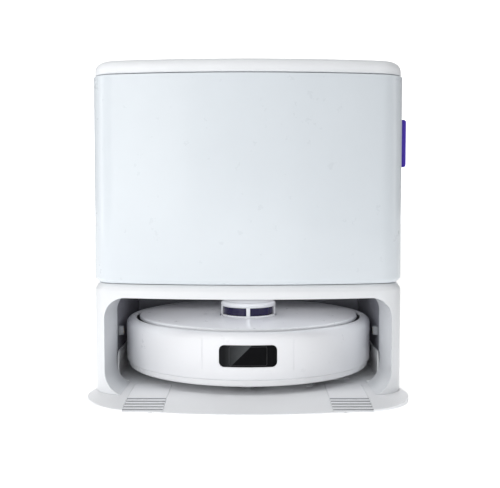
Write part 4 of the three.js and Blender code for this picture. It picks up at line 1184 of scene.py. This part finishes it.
def make_tyre(x, y, z, word):
    rings = []
    for dx, radius, treaded in TYRE_EDGES:
        ring = []
        for k in range(240):
            a = 2 * math.pi * k / 240 + (0.06 if abs(dx) <= 1 else 0)
            r = radius - 1.5 if treaded and math.sin(30 * a) > 0.1 else radius
            ring.append((x + dx, y + r * math.cos(a), z + r * math.sin(a)))
        rings.append(ring)
    tyre = loft(f"tyre_{word}", rings, wrap=True)
    finish(tyre, "rubber", f"wheel_{word}", f"wheel_{word}")


def make_wheel(side, word):
    """A treaded tyre over a hub with five holes."""
    x = side * WHEEL["x"]
    y, z = ROBOT_Y, WHEEL["z"]
    make_tyre(x, y, z, word)
    inner, outer = -side * 18 + x, side * 8 + x
    rim = x - side * 9.8
    profile = [(0, outer), (9, outer), (10, outer - side), (23.9, outer - side * 2), (23.9, rim)]
    profile += [(6, rim), (6, inner), (0, inner)]
    hub = lathe(f"hub_{word}", profile, (y, z), 64, axis="x")
    section = [(4, outer - side * 6), (4, outer + side * 4)]
    holes = [lathe("hole", section, centre, 24, axis="x") for centre in circle(y, z, 16.5, 5)]
    finish(soften(carve(hub, *holes), 0.5, 2), "rubber", f"wheel_{word}", shade=SLOT_OF["inner_grey"])


def make_caster():
    y, z = CASTER_AT[1], 23.6
    section = [(0, 41), (16.5, 41), (17, 41.5), (17, 43.5), (16.5, 44), (4, 44)]
    section += [(4, 52.6), (3.6, 53), (0, 53)]
    top = lathe("caster_top", section, CASTER_AT, 64)
    leg = rounded_box((y - 7, y + 7), (16.2, 42), 6.5, 0.5)
    parts = [prism("leg", leg, *x, "x") for x in ((-12, -9), (9, 12))]
    axle = [(0, -11.5), (1.7, -11.5), (1.7, 11.5), (0, 11.5)]
    parts.append(lathe("axle", axle, (y, z), 24, axis="x"))
    boolean(top, parts, "UNION")
    finish(soften(top, 0.4, 2), "dark_plastic", "caster_fork", "caster_fork")
    half = [(2.2, 8), (11.5, 8), (13, 7.2), (14.8, 4.6), (15, 3)]
    profile = [(r, -x) for r, x in half] + half[::-1]
    wheel = lathe("caster_tyre", profile, (y, z), 64, closed=True, axis="x")
    finish(soften(wheel, 0.3, 2, 50), "rubber", "caster_wheel", "caster_wheel", shade=WHEEL_GREY)


def make_main_brush():
    """A roller whose soft blades run in chevrons from the middle to the ends."""
    y, z = ROBOT_Y - 32, 31
    half = [(0, 77.8), (3, 77.8), (3, 75), (12.4, 75), (13, 74.4)]
    profile = [(r, -x) for r, x in half] + half[::-1]
    core = lathe("roller_core", profile, (y, z), 64, axis="x")
    finish(core, "rubber", "main_brush", "main_brush", shade=SOFT_GREY)
    section = ((12.4, -1.3), (20.6, -0.7), (20.9, 0), (20.6, 0.7), (12.4, 1.3))
    blades = []
    for n in range(6):
        rings = []
        for i in range(49):
            x = -74 + 148 * i / 48
            turn = math.pi / 3 * n + 0.9 * abs(x) / 74
            c, d = math.cos(turn), math.sin(turn)
            rings.append([(x, y + r * c - offset * d, z + r * d + offset * c) for r, offset in section])
        blades.append(loft("blade", rings))
    finish(joined("roller_blades", *blades), "rubber", "main_brush")


def bristle(direction, reach, z):
    """One thin square bristle that tapers towards its tip."""
    x, y = SIDE_BRUSH_AT
    start = 11
    rings = []
    for k in range(5):
        r = start + (reach - start) * k / 4
        thick = 0.24 - 0.1 * k / 4
        px, py = x + r * math.cos(direction), y + r * math.sin(direction)
        nx, ny = -math.sin(direction) * thick, math.cos(direction) * thick
        near = [(px + nx, py + ny, z - thick), (px + nx, py + ny, z + thick)]
        rings.append(near + [(px - nx, py - ny, z + thick), (px - nx, py - ny, z - thick)])
    return loft("bristle", rings)


def make_side_brush():
    """A hub with three tufts of fine bristles."""
    section = [(0, 12.1), (9, 12.1), (11, 13), (12, 14.4), (12, 18), (11.6, 18.3), (3.2, 18.3)]
    section += [(3.2, 25.6), (2.8, 26), (0, 26)]
    hub = lathe("tuft_hub", section, SIDE_BRUSH_AT, 48)
    finish(hub, "dark_plastic", "side_brush", "side_brush")
    bristles = []
    for arm in range(3):
        base = math.radians(12 + 120 * arm)
        for n in range(26):
            spread = (n / 25 - 0.5) * 0.17
            reach = 43.5 + rng.uniform(-1.5, 0.8)
            z = 13.5 + rng.uniform(-0.45, 0.45)
            bristles.append(bristle(base + spread - 0.02, reach, z))
    finish(joined("tufts", *bristles), "dark_plastic", "side_brush", shade=BRISTLE_GREY)


# The mop pad's section, with a shallow ring pressed into it at two radii.
MOP_SECTION = (
    [(0.2, 10.9), (14, 10.9), (15, 11.6), (16, 10.8), (36, 10.6), (37, 11.4), (38, 10.6)]
    + [(57, 10.6), (60.5, 11.2), (61.7, 12.4), (61, 13.7), (59, 14.15), (0.2, 14.15)]
)


def make_mop(side, word):
    centre = (side * MOP_X, MOP_Y)
    section = [(0, 14.5), (57.2, 14.5), (58, 15.2), (58, 17.6), (57.2, 18.4), (5, 18.4)]
    section += [(5, 29.6), (4.6, 30), (0, 30)]
    plate = lathe(f"mop_disc_{word}", section, centre, 96)
    finish(plate, "dark_plastic", f"mop_{word}", f"mop_plate_{word}")
    rings = []
    for radius, z in MOP_SECTION:
        ring = []
        for x, y in circle(*centre, radius, 180):
            loops = rng.uniform(-0.12, 0.12) if 15 < radius < 61 and z < 14 else 0
            ring.append((x, y, z + loops))
        rings.append(ring)
    pad = loft(f"mop_cloth_{word}", rings)
    finish(pad, "mop_cloth", f"mop_{word}", f"mop_pad_{word}")


def make_dust_box():
    low, high = span("dust_bin")
    shell = cuboid("bin_shell", low, high)
    inner = cuboid("inner", [v + 2 for v in low], [v - 2 for v in high])
    mouth = block("mouth", (-60, 60), (low[1] - 4, low[1] + 6), (30, 52))
    finish(soften(carve(shell, inner, mouth), 0.8), "dark_plastic", "robot", "dust_bin")


def make_battery():
    low, high = span("robot_battery")
    outline = rounded_box((low[0], high[0]), (low[1], high[1]), 5)
    cells = prism("battery_case", outline, low[2], high[2])
    y, z = (low[1] - 2, high[1] + 2), (high[2] - 0.8, high[2] + 2)
    carve(cells, *[block("band", (x - 0.6, x + 0.6), y, z) for x in range(-40, 41, 20)])
    finish(soften(cells, 0.8), "dark_plastic", "robot", "robot_battery")


def make_frame_hoop():
    section = [(162.4, 28.3), (165.4, 28.3), (165.4, 34), (167.4, 36.5), (167.4, 76)]
    section += [(160.5, 82.4), (156.8, 82.4), (156.8, 85.6), (146, 85.6), (146, 83)]
    section += [(154, 80), (164.5, 72), (164.5, 37), (162.4, 34.5)]
    hoop = lathe("frame_hoop", section, CENTRE, 160, closed=True)
    finish(soften(hoop, 0.4, 2, 25), "dark_plastic", "robot", "robot_frame")


def make_laser():
    """The spinning head, with a flat at the front that carries its two eyes."""
    section = [(0, 82), (5.5, 82), (5.5, 87), (30.6, 87), (31, 87.4), (31, 100.8)]
    section += [(29, 102.4), (0, 102.4)]
    drum = lathe("laser_drum", section, TOWER_AT, 96)
    flat = block("flat", (-40, 40), (TOWER_Y - 40, TOWER_Y - 25), (90, 110))
    carve(drum, flat)
    finish(soften(drum, 0.4, 2, 40), "black_gloss", "lidar_rotor", "lidar_rotor")
    section = [(0, -27), (5, -27), (5, -25.4), (3.6, -25.2), (0, -25.2)]
    section = [(radius, TOWER_Y + y) for radius, y in section]
    eyes = [lathe("eye", section, (x, 96), 32, axis="y") for x in (-11, 9)]
    finish(joined("laser_eyes", *eyes), "black_gloss", "lidar_rotor", shade=SLOT_OF["lens_violet"])


# ---- camera, light and floor ----------------------------------------------------------------

CAMERA = {"x": 0.0025, "distance": 1.235, "height": 0.265, "pitch": 3.45, "focal_px": 861.0}
FRAME_WIDTH_PX = 500
SENSOR_MM = 36.0


def make_camera():
    data = bpy.data.cameras.new("camera")
    data.sensor_width = SENSOR_MM
    data.lens = CAMERA["focal_px"] / FRAME_WIDTH_PX * SENSOR_MM
    camera = bpy.data.objects.new("camera", data)
    camera.location = (CAMERA["x"], -CAMERA["distance"], CAMERA["height"])
    camera.rotation_euler = (math.radians(90 - CAMERA["pitch"]), 0, 0)
    bpy.context.scene.collection.objects.link(camera)
    bpy.context.scene.camera = camera


def facing(place, target):
    """The rotation that turns an object at one place towards another."""
    return (Vector(target) - Vector(place)).to_track_quat("-Z", "Y").to_euler()


def area_light(name, place, target, size, power, color=(1, 1, 1)):
    data = bpy.data.lights.new(name, "AREA")
    data.shape = "RECTANGLE"
    data.size, data.size_y = size
    data.energy = power
    data.color = color
    light = bpy.data.objects.new(name, data)
    light.location = place
    light.rotation_euler = facing(place, target)
    light.visible_camera = False
    bpy.context.scene.collection.objects.link(light)
    return light


def sheet(name, size, material):
    """A flat square of the studio, level and facing up."""
    half = size / 2 / MM
    corners = [(-half, -half, 0), (half, -half, 0), (half, half, 0), (-half, half, 0)]
    obj = make_object(name, lambda bm: bm.faces.new([bm.verts.new(p) for p in corners]))
    obj.data.materials.append(material)
    return obj


def glowing_paint(name, strength):
    """Pale paint that glows, so that it stays white where little light falls."""
    material = plastic(name, (0.97, 0.97, 0.97), 0.9, grain=0.02)
    shader = material.node_tree.nodes["Principled BSDF"]
    shader.inputs["Emission Color"].default_value = (1, 1, 1, 1)
    shader.inputs["Emission Strength"].default_value = strength
    return material


def make_world():
    scene = bpy.context.scene
    scene.view_settings.view_transform = "Standard"
    world = bpy.data.worlds.new("studio")
    scene.world = world
    world.use_nodes = True
    background = world.node_tree.nodes["Background"]
    background.inputs["Color"].default_value = (1.0, 1.0, 1.0, 1.0)
    background.inputs["Strength"].default_value = 0.36


def make_lights():
    """A tall key from the left, a light over the front, a low fill, two rims and one in the bay."""
    key_at, warm = (-1.1, -1.85, 1.0), (1.0, 0.99, 0.97)
    area_light("key_light", key_at, (0, 0, 1.0), (1.1, 1.9), 9.3, warm)
    top = area_light("top_light", (0, -0.85, 1.9), (0, -0.2, 0), (1.2, 0.6), 9.5)
    fill = area_light("low_fill", (0.0, -1.7, 0.2), (0, -0.1, 0.03), (1.5, 0.3), 5.0)
    for light in (top, fill):
        light.visible_glossy = False
    area_light("left_rim", (-1.3, -0.1, 0.5), (-0.2, -0.1, 0.25), (0.3, 0.9), 1.6)
    area_light("right_rim", (1.3, -0.1, 0.5), (0.2, -0.1, 0.25), (0.3, 0.9), 1.4)
    area_light("bay_light", (0, -0.045, 0.1285), (0, -0.045, 0), (0.30, 0.18), 0.075)


def make_studio():
    """The floor, a backdrop far behind it, and a black card that shades the door's right side."""
    sheet("floor", 12, glowing_paint("floor_paint", 0.5))
    wall = sheet("backdrop", 6, glowing_paint("backdrop_paint", 1.0))
    wall.rotation_euler = (math.radians(90), 0, 0)
    wall.location = (0, 5.9, 1.5)
    card = sheet("shade_card", 2, plastic("card_black", (0.01, 0.01, 0.01), 0.9))
    card.location = (0.95, -0.75, 0.7)
    card.rotation_euler = facing(card.location, (0, 0, 0.3))
    card.visible_camera = False


# ---- build ----------------------------------------------------------------------------------

make_camera()
make_world()
make_lights()
make_studio()
dress_cad_nodes()
make_lid()
make_door()
make_pull_tab()
make_lower_housing()
make_bay_lining()
make_tray()
make_track_pads()
make_guides()
make_contacts()
make_upper_housing()
make_rear_cover()
make_power_inlet()
make_feet()
make_washing_tray()
make_bumper()
make_sensor_window()
make_rear_shell()
make_robot_deck()
make_tower()
make_chassis()
make_machine_deck()
make_tank("clean_tank")
make_tank("dirty_tank")
make_float()
make_dust_bag()
make_bag_collar()
make_suction_duct()
make_detergent()
make_blower()
make_water_pump()
make_pins()
on_both_sides(make_wheel)
make_caster()
make_main_brush()
make_side_brush()
on_both_sides(make_mop)
make_dust_box()
make_battery()
make_frame_hoop()
make_laser()
